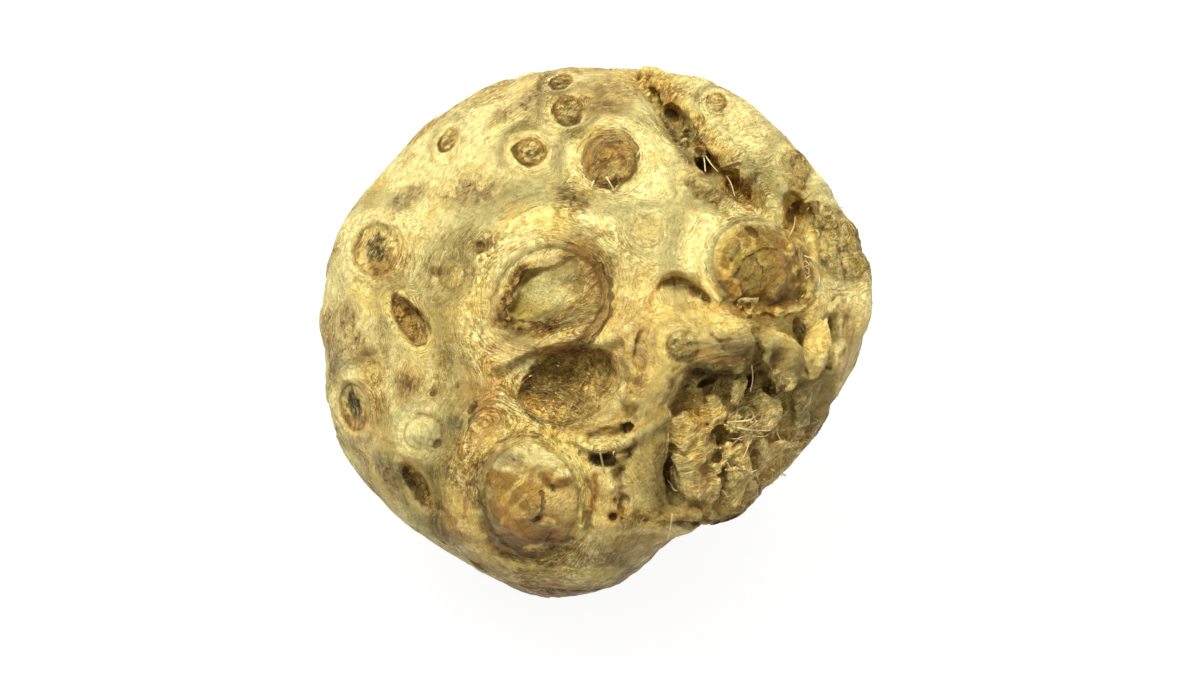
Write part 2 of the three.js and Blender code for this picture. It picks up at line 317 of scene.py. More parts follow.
# Roots and nodules laid on the body, as the camera sees them: [x, y, how far the top stands out, radius].
STRANDS = {
    "trunk": [
        (14.5, 4, 0.8, 5.5), (15.5, -4, 1.6, 6.4), (14.8, -11, 1.6, 5.8),
        (13, -17, 1.4, 4.4), (12, -21, 1.2, 3.6),
    ],
    "arm": [(16, 1, 1.0, 6.4), (24, -0.5, 2.4, 7.0), (31, -1, 2.6, 7.0), (36, -2, 1.6, 5.6)],
    "knuckle": [(39.6, -3.4, 1.8, 3.8), (42.4, -6.6, 3.4, 4.8), (43.2, -9.4, 2.6, 3.8)],
    "finger": [(51.0, 2.5, 1.0, 2.4), (51.4, -4, 1.8, 2.7), (50.4, -9.3, 1.0, 2.5)],
    "cheek": [(58.4, 6, 0.6, 4.0), (58, -2, 0.8, 4.2), (56, -8.6, 0.4, 3.4)],
    "arm_end": [
        (41.5, 4.4, 2.4, 1.6), (46, 6.6, 3.4, 1.2),
        (50, 9.0, 4.4, 1.1), (54.5, 11.6, 4.2, 0.9),
    ],
    "curl": [(51.5, -3, 2.6, 0.6), (52.2, 3, 2.4, 0.55), (54.2, 6.6, 2.4, 0.55), (58.5, 7.0, 1.4, 0.4)],
    "crossing": [
        (-4, -25.3, 2.2, 1.2), (0, -26, 3.6, 1.3), (5, -25, 4.2, 1.4),
        (10, -22.5, 3.6, 1.7), (15, -19, 2.4, 2.2),
    ],
    "behind_crossing": [
        (4, -17, 1.2, 1.6), (5, -22, 0.8, 1.6),
        (5.6, -28, 0.0, 1.6), (7, -31, -0.5, 1.5),
    ],
    "pillar": [
        (12.2, -23, 1.6, 3.4), (11.0, -28, 3.0, 4.5),
        (11.0, -34, 3.2, 4.6), (12.2, -39.5, 2.2, 3.8),
    ],
    "pillar_spur_left": [(9, -28.5, 1.8, 2.0), (6.4, -31.6, 1.2, 1.2)],
    "pillar_spur_right": [(13, -24, 2.0, 2.4), (16.6, -25.4, 1.2, 1.5)],
    "pillar_foot": [(9, -38, 0.8, 2.2), (8.2, -41.5, 0.6, 2.0)],
    "side_fringe": [(10.5, -32, 1.4, 0.7), (8.5, -36.5, 1.3, 0.7), (7.4, -41.5, 0.9, 0.6)],
    "hollow_floor": [(23.5, -12.6, -3.4, 2.4), (25.5, -15, -3.8, 2.2), (25, -18.5, -2.4, 1.8)],
    "pale_nodule": [(27.6, -16, 0.4, 1.9), (28.2, -18.6, 0.8, 2.0)],
    "stub": [(32.8, -8.0, 0.2, 1.3), (31.6, -16.4, 0.8, 1.2)],
    "stub_beside": [(35.2, -8.4, -0.8, 0.9), (34.2, -15, -0.2, 0.8)],
    "fan_base": [(31.5, -20.5, -0.6, 1.9), (34, -22, -0.2, 1.7)],
    "spongy": [(26.8, -25.4, -1.2, 1.6), (28.4, -27.6, -1.4, 1.5)],
    "knob_crest": [
        (20.5, -20.4, 0.6, 2.6), (21.8, -24, 1.6, 3.9),
        (22, -30, 2.2, 4.6), (22, -35.5, 1.6, 4.3),
    ],
    "knob_flake": [(21.4, -21.5, 3.0, 1.7), (18.8, -26, 2.8, 1.1)],
    "oval_knob": [(27.4, -35.2, 1.2, 2.1), (27.0, -38.2, 1.0, 2.2)],
    "hooked_knob": [
        (30.8, -27.2, 0.8, 1.9), (33.2, -29.4, 1.6, 2.9),
        (33.0, -34, 1.6, 3.0), (31.2, -38.6, 1.0, 2.6),
    ],
    "low_right_knob": [(37, -33.6, 0.2, 1.8), (36.4, -37, 0.0, 1.9)],
    "base_bridge": [(13.5, -40.4, 1.2, 2.6), (18, -41.0, 1.0, 2.2), (22.5, -41.0, 0.8, 2.2)],
    "underside_lip": [(24.5, -40.6, 0.6, 2.4), (29.0, -42.2, 0.2, 2.0)],
    "plate_knob": [(39.6, -15.6, 0.0, 2.4), (41.2, -18, 1.0, 3.0), (41.2, -20.6, 0.4, 2.4)],
    "brown_knob": [(47.6, -17, 0.8, 2.8), (48.2, -20.8, 0.6, 2.8)],
    "small_nodule": [(38.8, -25.4, 0.8, 1.9), (39.6, -28.4, 0.6, 1.7)],
    "tuft_root": [(41, -25, 1.4, 1.3), (45, -25.4, 1.4, 0.9), (48, -24.2, 1.4, 0.5)],
    "pale_curve": [
        (26, -30.8, 2.8, 0.5), (29, -30.0, 3.2, 0.5),
        (33, -30.3, 2.8, 0.45), (35.5, -33, 1.6, 0.35),
    ],
    "scoop_fold": [
        (-23, -7, 1.6, 2.0), (-16, -3.6, 2.0, 2.2), (-9, -1.6, 2.2, 2.2),
        (0, -0.6, 2.4, 2.2), (7, 0.5, 2.0, 2.2),
    ],
    "scoop_wall": [(8.5, 1.5, 1.6, 1.5), (8.4, -6, 2.0, 1.6), (8.2, -13, 1.6, 1.5)],
    "boss_lobe": [(26.4, 16, 2.2, 2.2), (27.0, 11, 2.8, 2.4), (28.2, 6.5, 2.0, 1.5)],
    "bead_a": [(0.5, -21.8, 2.4, 1.3), (1.7, -21.2, 2.2, 1.2)],
    "bead_b": [(-3.6, -24.6, 2.0, 1.2), (-2.6, -25.4, 1.8, 1.0)],
    "bead_c": [(7.2, -13.5, 2.6, 1.5), (7.8, -15.6, 2.2, 1.2)],
    "bead_d": [(9.2, -8.2, 2.8, 1.3), (9.6, -9.8, 2.4, 1.1)],
    "cleft_bead_a": [(11.5, 57.5, 1.2, 1.3), (13.3, 56.5, 1.2, 1.1)],
    "cleft_bead_b": [(14.5, 55, 1.2, 1.2), (16, 53.8, 1.2, 1.0)],
    "cleft_bead_c": [(18.5, 53.8, 1.2, 1.1), (20.2, 51.8, 1.2, 1.2)],
    "cleft_lip": [
        (20, 52, 1.2, 1.5), (24.4, 48, 1.6, 1.7),
        (28.4, 43, 1.6, 1.7), (32.4, 38.5, 1.4, 1.6),
    ],
    "cleft_crumb": [(24, 46, 1.6, 0.9), (26, 43, 1.8, 1.0), (27, 41.4, 1.4, 0.8)],
    "grey_bump": [(22.3, 35.0, 1.4, 2.8), (25.6, 32.6, 1.6, 2.9)],
    "recess_lip": [(41.5, 33.5, 1.0, 1.5), (46.5, 33.2, 1.2, 1.6), (49, 29, 1.0, 1.6)],
    "right_ridge": [(46, 22, 1.0, 1.6), (49.5, 17, 1.4, 1.6), (51.5, 12.5, 1.2, 1.4)],
    "bottom_heel": [(-10, -57, 0.6, 3.6), (0, -57, 0.4, 3.6)],
}


def surface_tree(points, faces):
    return BVHTree.FromPolygons(points.tolist(), faces.tolist())


def on_surface(tree, at):
    """The surface point at (x, y) in the camera's view of the face, or in a direction (x, y, z)."""
    if len(at) == 2:
        origin, through = Vector(EYE), Vector((*at, 0))
    else:
        origin, through = FAR * Vector(at).normalized(), Vector()
    place, _, _, _ = tree.ray_cast(origin, (through - origin).normalized())
    if place is None:  # just outside the outline
        place, _, _, _ = tree.find_nearest(through)
    return np.array(place)


def nearest(tree, place):
    found, normal, _, _ = tree.find_nearest(Vector(place))
    return np.array(found), np.array(normal)


def laid_strand(tree, rows):
    """A strand's rows as [x, y, z, radius]."""
    laid = []
    for x, y, top, radius in rows:
        place, normal = nearest(tree, on_surface(tree, (x, y)))
        laid.append((*(place + normal * (top - radius)), radius))
    return laid


def wandering_root(tree, rng, start, length, radius, step=2.2):
    """A thin root that creeps over the surface from a point, half sunk into it."""
    place, normal = nearest(tree, start)
    heading = unit(np.cross(normal, rng.normal(size=3)))
    rows = []
    for i in range(max(3, int(length / step))):
        share = i * step / length
        lift = radius * (0.3 + 0.5 * math.sin(3 * share + start[0]))
        rows.append((*(place + normal * lift), radius * (1 - 0.45 * share)))
        heading = unit(heading + 0.45 * rng.normal(size=3))
        heading = unit(heading - normal * (heading @ normal))
        place, normal = nearest(tree, place + heading * step)
    return rows


# Rows of small nodules and flakes: path on the face, how many, smallest, largest, how far they stray.
NODULES = [
    ([(11, 60), (16, 57), (21.5, 52), (26, 46.5), (30.5, 40.5), (35, 35)], 90, 0.5, 1.5, 0.8),
    ([(10, 57), (15, 51), (20, 45.5), (23, 40.5)], 22, 0.4, 0.9, 0.7),
    ([(41, 33), (47, 34), (50.5, 29), (50, 22)], 26, 0.5, 1.3, 0.9),
    ([(44, 20), (47.5, 12), (50, 6)], 16, 0.4, 1.0, 1.0),
    ([(-3, -22.4), (3, -22.5), (7.5, -18), (9, -9)], 24, 0.4, 1.0, 0.8),
    ([(24, -13), (30, -20), (38, -22)], 22, 0.4, 1.0, 2.2),
    ([(19, -23), (26, -29), (34, -29)], 22, 0.4, 1.1, 2.4),
    ([(12, -42.5), (22, -41.5), (33, -40)], 26, 0.5, 1.3, 1.0),
    ([(26, 5.6), (33, 4.8), (40, 5.4), (46, 8)], 22, 0.3, 0.8, 0.7),
    ([(-21, 3), (-20, 7), (-18, 12)], 12, 0.4, 0.8, 0.5),
]


def nodules(tree):
    rng = np.random.default_rng(31)
    chains = []
    for path, count, smallest, largest, stray in NODULES:
        spine = chain_on_surface(tree, path, 0.5)
        for _ in range(count):
            place, normal = nearest(tree, spine[rng.integers(len(spine))] + stray * rng.normal(size=3))
            radius = rng.uniform(smallest, largest)
            heading = unit(rng.normal(size=3) + 0.3 * normal)
            start = place + 0.2 * radius * normal
            tip = start + rng.uniform(0.6, 2.0) * radius * heading
            chains.append([(*start, radius), (*tip, 0.75 * radius)])
    return chains


# Where small roots fill the tangle: centre, spread, how many, thinnest, thickest.
TANGLE_PATCHES = [
    ((27, -15, 40), (4, 4, 3), 12, 0.4, 0.8),
    ((35, -20, 32), (4, 4, 4), 12, 0.4, 0.9),
    ((24, -30, 38), (4, 6, 4), 10, 0.4, 0.7),
    ((42, -20, 22), (4, 5, 7), 12, 0.5, 1.2),
    ((30, -33, 12), (8, 6, 10), 30, 0.8, 2.4),
    ((44, -16, -4), (7, 7, 8), 26, 0.8, 2.4),
]


def tangle_roots(tree):
    """The mass of small roots in the hollow at the root end and round to the side that faces the ground."""
    rng = np.random.default_rng(11)
    chains = []
    for centre, spread, count, thinnest, thickest in TANGLE_PATCHES:
        for _ in range(count):
            start = np.array(centre) + rng.normal(size=3) * spread
            length, radius = rng.uniform(6, 15), rng.uniform(thinnest, thickest)
            chains.append(wandering_root(tree, rng, start, length, radius))
    return chains


# ---------------------------------------------------------------- the body

def coarse_body():
    """The CAD solid with its facets smoothed away."""
    points, faces = arrays_from(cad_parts["celeriac_root"].data)
    points = to_face(points)
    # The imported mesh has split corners: weld them.
    _, first, welded = np.unique(np.round(points, 3), axis=0, return_index=True, return_inverse=True)
    points, faces = points[first], welded.reshape(-1)[faces]
    points, faces = voxel_remesh(points, faces, BODY_VOXEL)
    smoother = Smoother(faces, len(points))
    return smoother.run(points, 10), faces, smoother


# The root end's main lines.
ROOT_END_LINES = [
    [(13, 4, 52), (13, -10, 50), (9, -38, 42)],
    [(13, 0, 52), (34, 0, 46), (50, -5, 32)],
    [(18, -26, 42), (34, -28, 32), (46, -18, 24)],
]


def root_end_share(points):
    """1 at the trunk, the arm and the tangle, 0 away from them."""
    distance = np.min([near_chain(points, line)[0] for line in ROOT_END_LINES], axis=0)
    return ease(15, 9, distance + 2 * noise(points, 5.0, 83))


# Where the body is sunk so that the roots stand out of it: path on the face or of directions, reach, depth.
SUNKEN = [
    ([(23, -12), (26, -17), (26, -27), (24, -37)], 6.5, 4.4),
    ([(27, -15), (34, -16), (41, -19), (46, -19)], 6.5, 4.6),
    ([(31, -24), (33, -33), (30, -40)], 6.5, 4.4),
    ([(12, -12), (12, -30), (13, -39)], 4.5, 3.0),
    ([(14, 4), (16, -8)], 6.0, 4.0),
    ([(20, 0), (35, -2), (44, -6), (51, -4)], 8.0, 4.5),
    ([(13.5, 8), (19, 9.5), (24, 8)], 3.0, 3.5),
    ([(57, 4), (55, -8)], 3.5, 3.0),
    ([(9, 60), (12, 56), (17, 50.5), (21.5, 45), (26, 39), (31, 34.5)], 1.8, 2.6),
    ([(45.6, 30), (46.4, 24)], 2.0, 3.0),
    ([(36, -36), (39, -33), (43, -29)], 9.0, 3.4),
    ([(50, -21), (53, -14)], 9.0, 3.2),
    ([(55, -15, 2), (49, -27, 2)], 12.0, 3.0),
    ([(42, -33, 0), (36, -39, -2)], 12.0, 3.0),
    ([(9, -54, 4), (11, -54, -4)], 8.0, 3.2),
]


def sinking(points, tree):
    """How far the body is sunk at each point, in millimetres."""
    depths = np.zeros(len(points))
    for path, reach, depth in SUNKEN:
        distance, _ = near_chain(points, chain_on_surface(tree, path))
        depths = np.maximum(depths, depth * ease(reach + 2.0, reach - 2.5, distance))
    return depths


def tangle_share(points):
    """1 in the root tangle, 0 away from it."""
    near_front = ease(25, 17, np.linalg.norm((points - TANGLE_CENTRE) * (0.95, 1.0, 0.6), axis=1))
    under = ease(25, 16, np.linalg.norm((points - (36, -26, 4)) * (1, 1, 0.8), axis=1))
    off_arm = ease(7.0, 10.0, near_chain(points, [(10, 0, 48), (22, 0, 49), (36, 0, 45), (44, -3, 39)])[0])
    return np.maximum(near_front * off_arm, under)


def keep_above_floor(points):
    """Nothing goes lower than the flat spot."""
    row = to_row(points)
    row[:, 2] = np.maximum(row[:, 2], 0.0)
    return to_face(row)


# ---------------------------------------------------------------- marks on the skin

# kind, place on the face, half length, half width, turn of the long axis in degrees.
MARKS = [
    ("boss", (-11.0, 8.3), 14.0, 12.8, 30),
    ("peeling_boss", (-15.2, -38), 14.6, 12.2, 100),
    ("brown_boss", (36.5, 16.3), 11.6, 10.8, 140),
    ("scoop", (-5.8, -12.2), 13.2, 8.6, 20),
    ("cut", (-11.3, 9.4), 9.8, 6.0, 37),
    ("button", (3, 39.8), 6.7, 6.5, 0),
    ("eye", (-6.7, 51.3), 3.6, 3.5, 0),
    ("eye", (-15.4, 41.6), 3.9, 3.3, -10),
    ("old_eye", (-50.6, 19.1), 6.5, 5.8, 80),
    ("pit", (-43.2, 3.0), 6.9, 3.0, -57),
    ("eye", (-34.2, 44.4), 3.2, 1.9, 60),
    ("smear", (1.6, 54.6), 8, 6, 10),
    ("eye", (-8.2, 57.8), 2.8, 1.6, 15),
    ("faint", (-29.9, 32.2), 8.5, 3.6, 8),
    ("faint", (-6.4, 31.3), 4.4, 2.4, -35),
    ("faint", (-15.5, 53), 4.5, 2.4, 60),
    ("faint", (-22, 50), 4.5, 1.8, 40),
    ("faint", (-44, 31), 6, 2.2, 35),
    ("faint", (-57.5, 3), 5, 2.4, 85),
    ("faint", (-55, -3), 4, 2.0, 80),
    ("dot", (-26.7, 20.2), 1.1, 0.9, 0),
    ("ring", (-33.3, 13.8), 3.2, 3.8, 0),
    ("smear", (-36.7, 14.3), 2.6, 1.6, 0),
    ("crusty_eye", (19.6, -2.8), 3.9, 3.6, 0),
    ("dimple", (41.2, -6.2), 2.6, 1.9, 60),
    ("eye", (27.4, 53.2), 2.6, 2.2, 10),
    ("crust", (45.5, 37.6), 4.8, 3.6, 105),
    ("crust", (57, 20), 8.5, 6.5, 95),
    ("crust", (52, 27), 4.5, 2.6, 140),
    ("recess", (45.6, 27.2), 4.2, 2.0, 75),
    ("crust", (24.6, 33.6), 5.2, 3.0, -33),
    ("hole", (24.4, 39.8), 3.0, 1.7, -65),
    ("hole", (17.2, 50.2), 2.0, 1.3, -30),
    ("recess", (32.6, 32.8), 3.6, 2.6, -35),
    ("ring", (11.5, 23.2), 4.2, 3.8, 0),
    ("ring", (-51.1, -9.1), 2.6, 2.6, 0),
    ("smear", (-53, -5), 3, 3, 0),
    ("old_eye", (-55.6, -17), 6.0, 3.6, 105),
    ("smear", (-43.5, -11.5), 5.0, 3.0, 75),
    ("ring", (-36, -6.1), 1.8, 1.8, 0),
    ("dot", (-37.7, -14), 0.9, 0.8, 0),
    ("dot", (-28.4, -17.2), 1.1, 0.7, 60),
    ("pearl", (-40, -23), 4.6, 4.2, 0),
    ("dot", (-36.7, -25.5), 1.6, 1.0, 40),
    ("recess", (-41.6, -34.6), 5.4, 2.0, -56),
    ("faint", (-47.7, -33), 7, 2.2, -60),
    ("hole", (3.6, -42.2), 1.0, 0.8, 0),
    ("dot", (4.2, -38.6), 0.9, 0.5, 90),
    ("gap", (1.6, -29.2), 3.8, 1.5, -5),
    ("gap", (16.2, -31.5), 3.2, 1.1, 78),
    ("gap", (40.4, -13.6), 2.6, 1.1, -15),
    ("gap", (35.0, -11.2), 2.6, 1.2, 60),
    ("gap", (25.4, -11.2), 2.6, 1.0, 25),
]


class Mark:
    """One mark and its flat coordinates: as the camera sees it, or along the surface on the other sides."""

    def __init__(self, tree, points, normals, kind, at, half_length, half_width, turn, seed):
        self.kind, self.seed = kind, seed
        self.half_length, self.half_width = half_length, half_width
        self.radius = math.sqrt(half_length * half_width)
        self.centre = on_surface(tree, at)
        close = np.linalg.norm(points - self.centre, axis=1) < max(0.7 * half_length, 2.5)
        self.normal = unit(normals[close].sum(0))
        self.at = np.array(at) if len(at) == 2 else None
        self.across = unit(np.cross(ROOT_AXIS, self.normal))
        self.over = np.cross(self.normal, self.across)
        self.turn = math.radians(turn)

    def flat(self, points):
        """Places on the mark in millimetres, right and up."""
        if self.at is not None:
            return as_seen(points) - self.at
        away = points - self.centre
        return np.column_stack((away @ self.across, away @ self.over))

    def polar(self, points, reach):
        """(indices, x, y, r) of the points near the mark; r is 1 on its plain outline."""
        away = points - self.centre
        box = np.nonzero((np.abs(away) < 1.8 * reach * self.half_length).all(1))[0]
        flat = self.flat(points[box])
        x = flat @ (math.cos(self.turn), math.sin(self.turn)) / self.half_length
        y = flat @ (-math.sin(self.turn), math.cos(self.turn)) / self.half_width
        r = np.hypot(x, y)
        depth = np.abs(away[box] @ self.normal)
        near = (r < reach) & (depth < max(3.0, 0.9 * self.radius) + 0.35 * self.radius * r)
        return box[near], x[near], y[near], r[near]


class Spot:
    """The points near one mark: their places on it, and what its relief and paint are made from."""

    def __init__(self, mark, points, reach=2.2, paint=None):
        self.mark, self.paint = mark, paint
        self.near, self.x, self.y, plain = mark.polar(points, reach)
        self.points = points[self.near]
        self.right, self.up = mark.flat(self.points).T / mark.radius
        uneven = 0.13 * self.grit(0.9 * mark.radius, 0) + 0.05 * self.grit(1.3, 1)
        self.r = plain * (1 + uneven)

    def grit(self, size, layer=2):
        """Noise of the mark's own, with cells of that size."""
        return noise(self.points, size, self.mark.seed + layer)

    def crumbs(self, size, layer=4):
        return rough(self.points, size, self.mark.seed + layer)

    def cracks(self, size, layer=6, width=0.12):
        """Thin branching lines."""
        return ease(width, 0.0, np.abs(self.crumbs(size, layer)))

    def inside(self, edge=1.0, soft=0.08):
        return ease(edge + soft, edge - soft, self.r)

    def ring(self, at, width):
        """A ring line, at least as wide as the skin's faces."""
        return bell(self.r, at, max(width, THINNEST_LINE / self.mark.radius))

    def line(self, at=1.0, width=0.08):
        """A ring line that breaks up here and there."""
        return self.ring(at, width) * ease(-0.7, 0.0, self.grit(0.8 * self.mark.radius, 7))

    def lay(self, colour, share):
        self.paint.lay(self.near, colour, share)

    def crumble(self, share):
        self.paint.crumble[self.near] = np.maximum(self.paint.crumble[self.near], np.clip(share, 0, 1))

    def polish(self, share):
        """Takes the grain away."""
        self.paint.grain[self.near] *= 1 - np.clip(share, 0, 1)


# Each kind of mark has its relief, the height in millimetres, and its paint. In both, s is its Spot.

def eye_relief(s):
    size = s.mark.radius
    lip = 0.11 * size * s.ring(1.28, 0.2)
    bowl = -0.14 * size * s.inside(0.9, 0.2) - min(0.6, 0.16 * size) * s.line(0.98, 0.10)
    return lip + bowl + s.inside(0.85, 0.12) * (0.8 * s.crumbs(1.8) - 0.6 * s.cracks(2.2))


def eye_paint(s):
    # low_left: more umber low on the left inside the bowl and a darker outline there, painted shade
    low_left = ease(0.5, -0.5, s.up + 0.6 * s.right)
    s.lay("rust", 0.35 * s.line(1.32, 0.08) + 0.25 * s.line(1.62, 0.06))
    s.lay("straw", 0.6 * s.inside(1.05, 0.12))
    s.lay("orange", 0.75 * s.inside(1.0) * ease(0.55, 0.85, s.r) * ease(-0.4, 0.3, s.grit(1.8)))
    s.lay("tan", 0.7 * s.inside(0.85) * ease(-0.2, 0.2, s.crumbs(1.8)))
    s.lay("ash", 0.8 * s.inside(0.7, 0.25) * ease(-0.2, 0.15, s.crumbs(1.5, 9)))
    s.lay("umber", 0.85 * s.inside(0.95) * ease(0.45, 0.85, s.r) * low_left)
    s.lay("umber", 0.9 * s.inside(0.9) * s.cracks(1.8))
    s.lay("cream", 0.9 * s.inside(0.75, 0.2) * ease(0.08, 0.25, s.crumbs(1.1, 13)))
    s.lay("dark", 0.7 * s.inside(0.6, 0.25) * ease(0.15, 0.35, s.crumbs(1.3, 12)))
    s.lay("dark", (0.55 + 0.35 * low_left) * s.line(0.98, 0.075))
    s.lay("cream", 0.7 * s.ring(1.2, 0.10))
    s.crumble(0.6 * s.inside(0.85, 0.2))


def old_eye_relief(s):
    core = ease(1.0, 0.7, np.hypot(s.x * 1.8 - 0.15, s.y * 2.0))
    return 0.5 * s.ring(1.15, 0.14) - 0.8 * s.inside(0.8, 0.2) + core * (0.9 * s.crumbs(1.5) - 0.2)


def old_eye_paint(s):
    core = ease(1.05, 0.75, np.hypot(s.x * 1.7 - 0.15, s.y * 2.6) + 0.4 * s.crumbs(1.6))
    s.lay("straw", 0.6 * s.inside(1.05))
    s.lay("rust", 0.45 * s.line(1.0, 0.06) + 0.35 * s.line(1.28, 0.05) + 0.3 * s.line(0.82, 0.05))
    s.lay("orange", 0.55 * s.inside(0.95) * ease(0.0, 0.6, s.grit(1.8) - 0.8 * s.up))
    s.lay("umber", 0.7 * s.inside(0.9) * ease(0.0, 0.35, s.crumbs(1.4) - 0.3 * s.up))
    s.lay("ash", core)
    s.lay("soot", core * ease(-0.2, 0.1, s.crumbs(1.3, 9)))
    s.lay("lichen", 0.9 * core * ease(0.05, 0.3, s.crumbs(1.1, 5)))
    s.lay("dark", 0.6 * core * s.cracks(1.8))
    s.lay("dark", 0.35 * s.line(0.98, 0.05) * ease(0.2, -0.4, s.up + 0.5 * s.right))
    s.crumble(0.7 * core)


def button_relief(s):
    moat = -1.2 * s.ring(1.03, 0.13)
    dome = s.inside(0.9, 0.1) * (1.6 * (1 - 0.6 * s.r ** 2) + 0.6 * s.crumbs(2.6))
    return 0.5 * s.ring(1.3, 0.2) + moat + dome


def button_paint(s):
    dome = s.inside(0.97)
    s.lay("tan", dome)
    s.lay("beige", 0.7 * dome * ease(-0.1, 0.5, s.grit(3.5, 8)))
    s.lay("umber", 0.8 * dome * ease(0.0, 0.3, s.crumbs(2.6)))
    s.lay("rust", 0.3 * dome * ease(0.1, 0.6, s.grit(2.2, 9)) * ease(0.2, 0.8, s.r))
    s.lay("mauve", 0.6 * dome * ease(0.1, 0.5, s.crumbs(3.0, 15) - 0.4 * s.right))
    s.lay("ash", 0.7 * dome * ease(-0.1, 0.3, s.crumbs(2.0, 11)))
    s.lay("straw", 0.6 * dome * ease(0.15, 0.5, s.crumbs(1.6, 14)))
    s.lay("dark", 0.8 * dome * s.cracks(3.4, width=0.09) * ease(0.3, 0.8, s.r))
    s.lay("dark", 0.85 * s.line(1.03, 0.06))
    s.crumble(0.4 * dome)
    s.polish(0.6 * dome)


def pit_relief(s):
    floor = -0.9 * s.mark.half_width * (1 - 0.5 * s.r ** 2) + 1.1 * s.crumbs(1.6)
    return s.inside(0.85, 0.15) * floor + 0.35 * s.ring(1.15, 0.12)


def pit_paint(s):
    s.lay("straw", 0.6 * s.ring(1.2, 0.12))
    s.lay("tan", 0.9 * s.inside(1.0))
    s.lay("lichen", 0.7 * s.inside(0.9) * ease(0.0, 0.4, s.crumbs(2.2, 8) + 0.4 * s.x))
    s.lay("umber", 0.9 * s.inside(0.95) * ease(0.0, 0.25, s.crumbs(1.8)))
    s.lay("dark", s.inside(0.9) * ease(0.1, 0.3, s.crumbs(1.5, 9)))
    s.lay("dark", 0.8 * s.inside(0.95) * s.cracks(2.4))
    s.lay("dark", 0.8 * s.line(0.97, 0.07))
    s.crumble(0.6 * s.inside())


def hole_relief(s):
    return -1.6 * s.mark.half_width * ease(1.0, 0.45, s.r) + 0.15 * s.ring(1.3, 0.25)


def hole_paint(s):
    s.lay("orange", 0.6 * s.ring(1.2, 0.3))
    # the umber and dark inside are painted shade in the hole
    s.lay("umber", s.inside(1.1, 0.15))
    s.lay("dark", s.inside(0.85, 0.2))


def gap_relief(s):
    return -2.4 * s.mark.half_width * ease(1.1, 0.2, s.r)


# a gap is umber and dark inside: painted shade between the roots
def gap_painted_shade(s):
    s.lay("umber", 0.8 * s.inside(1.05, 0.15))
    s.lay("dark", s.inside(0.85, 0.12))
    s.crumble(s.inside())


def recess_relief(s):
    return s.inside(0.85, 0.15) * (-1.3 * s.mark.half_width * (1 - 0.4 * s.r) + 0.8 * s.crumbs(1.6))


def recess_paint(s):
    s.lay("orange", 0.7 * s.ring(1.05, 0.2))
    s.lay("straw", 0.8 * s.inside(0.9))
    # umber and dark grow towards the upper side: the recess's own brown, darkened by painted shade under
    # its upper rim
    s.lay("umber", 0.9 * s.inside(0.95) * ease(-0.2, 0.3, s.crumbs(1.6) + 0.5 * s.up))
    s.lay("dark", 0.8 * s.inside(0.85) * ease(0.15, 0.5, s.crumbs(1.3, 9) + 0.4 * s.up))
    s.crumble(s.inside())


def dimple_relief(s):
    return -1.3 * ease(1.3, 0.1, s.r)


def dimple_paint(s):
    s.lay("tan", 0.7 * s.inside(1.3, 0.4))
    s.lay("umber", 0.8 * s.inside(1.0, 0.5) * ease(-0.6, 0.2, s.crumbs(1.6)))
    s.lay("dark", 0.6 * s.inside(0.6, 0.3) * ease(-0.2, 0.4, s.crumbs(1.2, 9)))


def dot_relief(s):
    return -0.5 * ease(1.0, 0.3, s.r)


def dot_paint(s):
    s.lay("rust", 0.5 * s.ring(1.0, 0.5))
    s.lay("dark", 0.9 * s.inside(0.8, 0.2))


def faint_folds(s):
    return np.sin(8 * s.y + 3 * s.grit(3.0) + 1.5 * s.grit(1.2, 5))


def faint_relief(s):
    return s.inside(0.8, 0.3) * (0.22 * faint_folds(s) - 0.2) + 0.15 * s.crumbs(1.2)


def faint_paint(s):
    folds = ease(0.1, 0.8, faint_folds(s))
    s.lay("beige", 0.5 * s.inside(1.1, 0.5))
    s.lay("mauve", 0.75 * s.inside(0.85, 0.4) * ease(-0.4, 0.2, s.crumbs(2.2)))
    s.lay("umber", 0.85 * s.inside(0.85, 0.35) * folds * ease(-0.2, 0.4, s.crumbs(1.4, 9)))
    s.lay("cream", 0.4 * s.inside(0.9, 0.3) * ease(0.1, 0.4, s.crumbs(1.8, 15)))
    s.lay("dark", 0.8 * s.inside(0.85, 0.35) * s.cracks(1.8) * ease(-0.3, 0.2, s.grit(2.5, 12)))
    s.crumble(0.25 * s.inside(0.9, 0.3))


def smear_relief(s):
    return 0.12 * s.inside(0.8, 0.3) * s.crumbs(1.5)


def smear_paint(s):
    s.lay("tan", 0.6 * s.inside(0.95, 0.35))
    s.lay("umber", 0.6 * s.inside(0.7, 0.35) * ease(-0.3, 0.4, s.crumbs(2.2)))
    s.lay("soot", 0.35 * s.inside(0.5, 0.3) * ease(0.0, 0.4, s.crumbs(1.4, 9)))


def ring_relief(s):
    return -0.28 * s.line(1.0, 0.14) + 0.2 * s.inside(0.6, 0.3)


def ring_paint(s):
    s.lay("orange", 0.35 * s.line(1.0, 0.14) * ease(0.4, -0.4, s.up + s.right))
    s.lay("straw", 0.5 * s.inside(0.75))
    s.lay("rust", 0.4 * s.line(1.0, 0.1) * ease(0.1, 0.4, s.crumbs(1.0)))
    s.lay("cream", 0.4 * s.ring(1.5, 0.3))


def crescent(s):
    """1 on the upper right of the outline."""
    return ease(0.2, 0.9, (s.right + s.up) / np.maximum(np.hypot(s.right, s.up), 0.1))


def pearl_relief(s):
    return 1.0 * ease(1.1, 0.0, s.r) - 0.5 * s.ring(1.02, 0.14) * crescent(s)


def pearl_paint(s):
    s.lay("cream", 0.95 * ease(2.0, 0.9, s.r))
    s.lay("flesh_pale", 0.3 * s.inside(0.7, 0.3))
    s.lay("tan", 0.4 * s.ring(1.05, 0.2) * crescent(s))
    s.lay("umber", 0.6 * s.ring(1.02, 0.07) * crescent(s))
    s.polish(0.6 * s.inside())


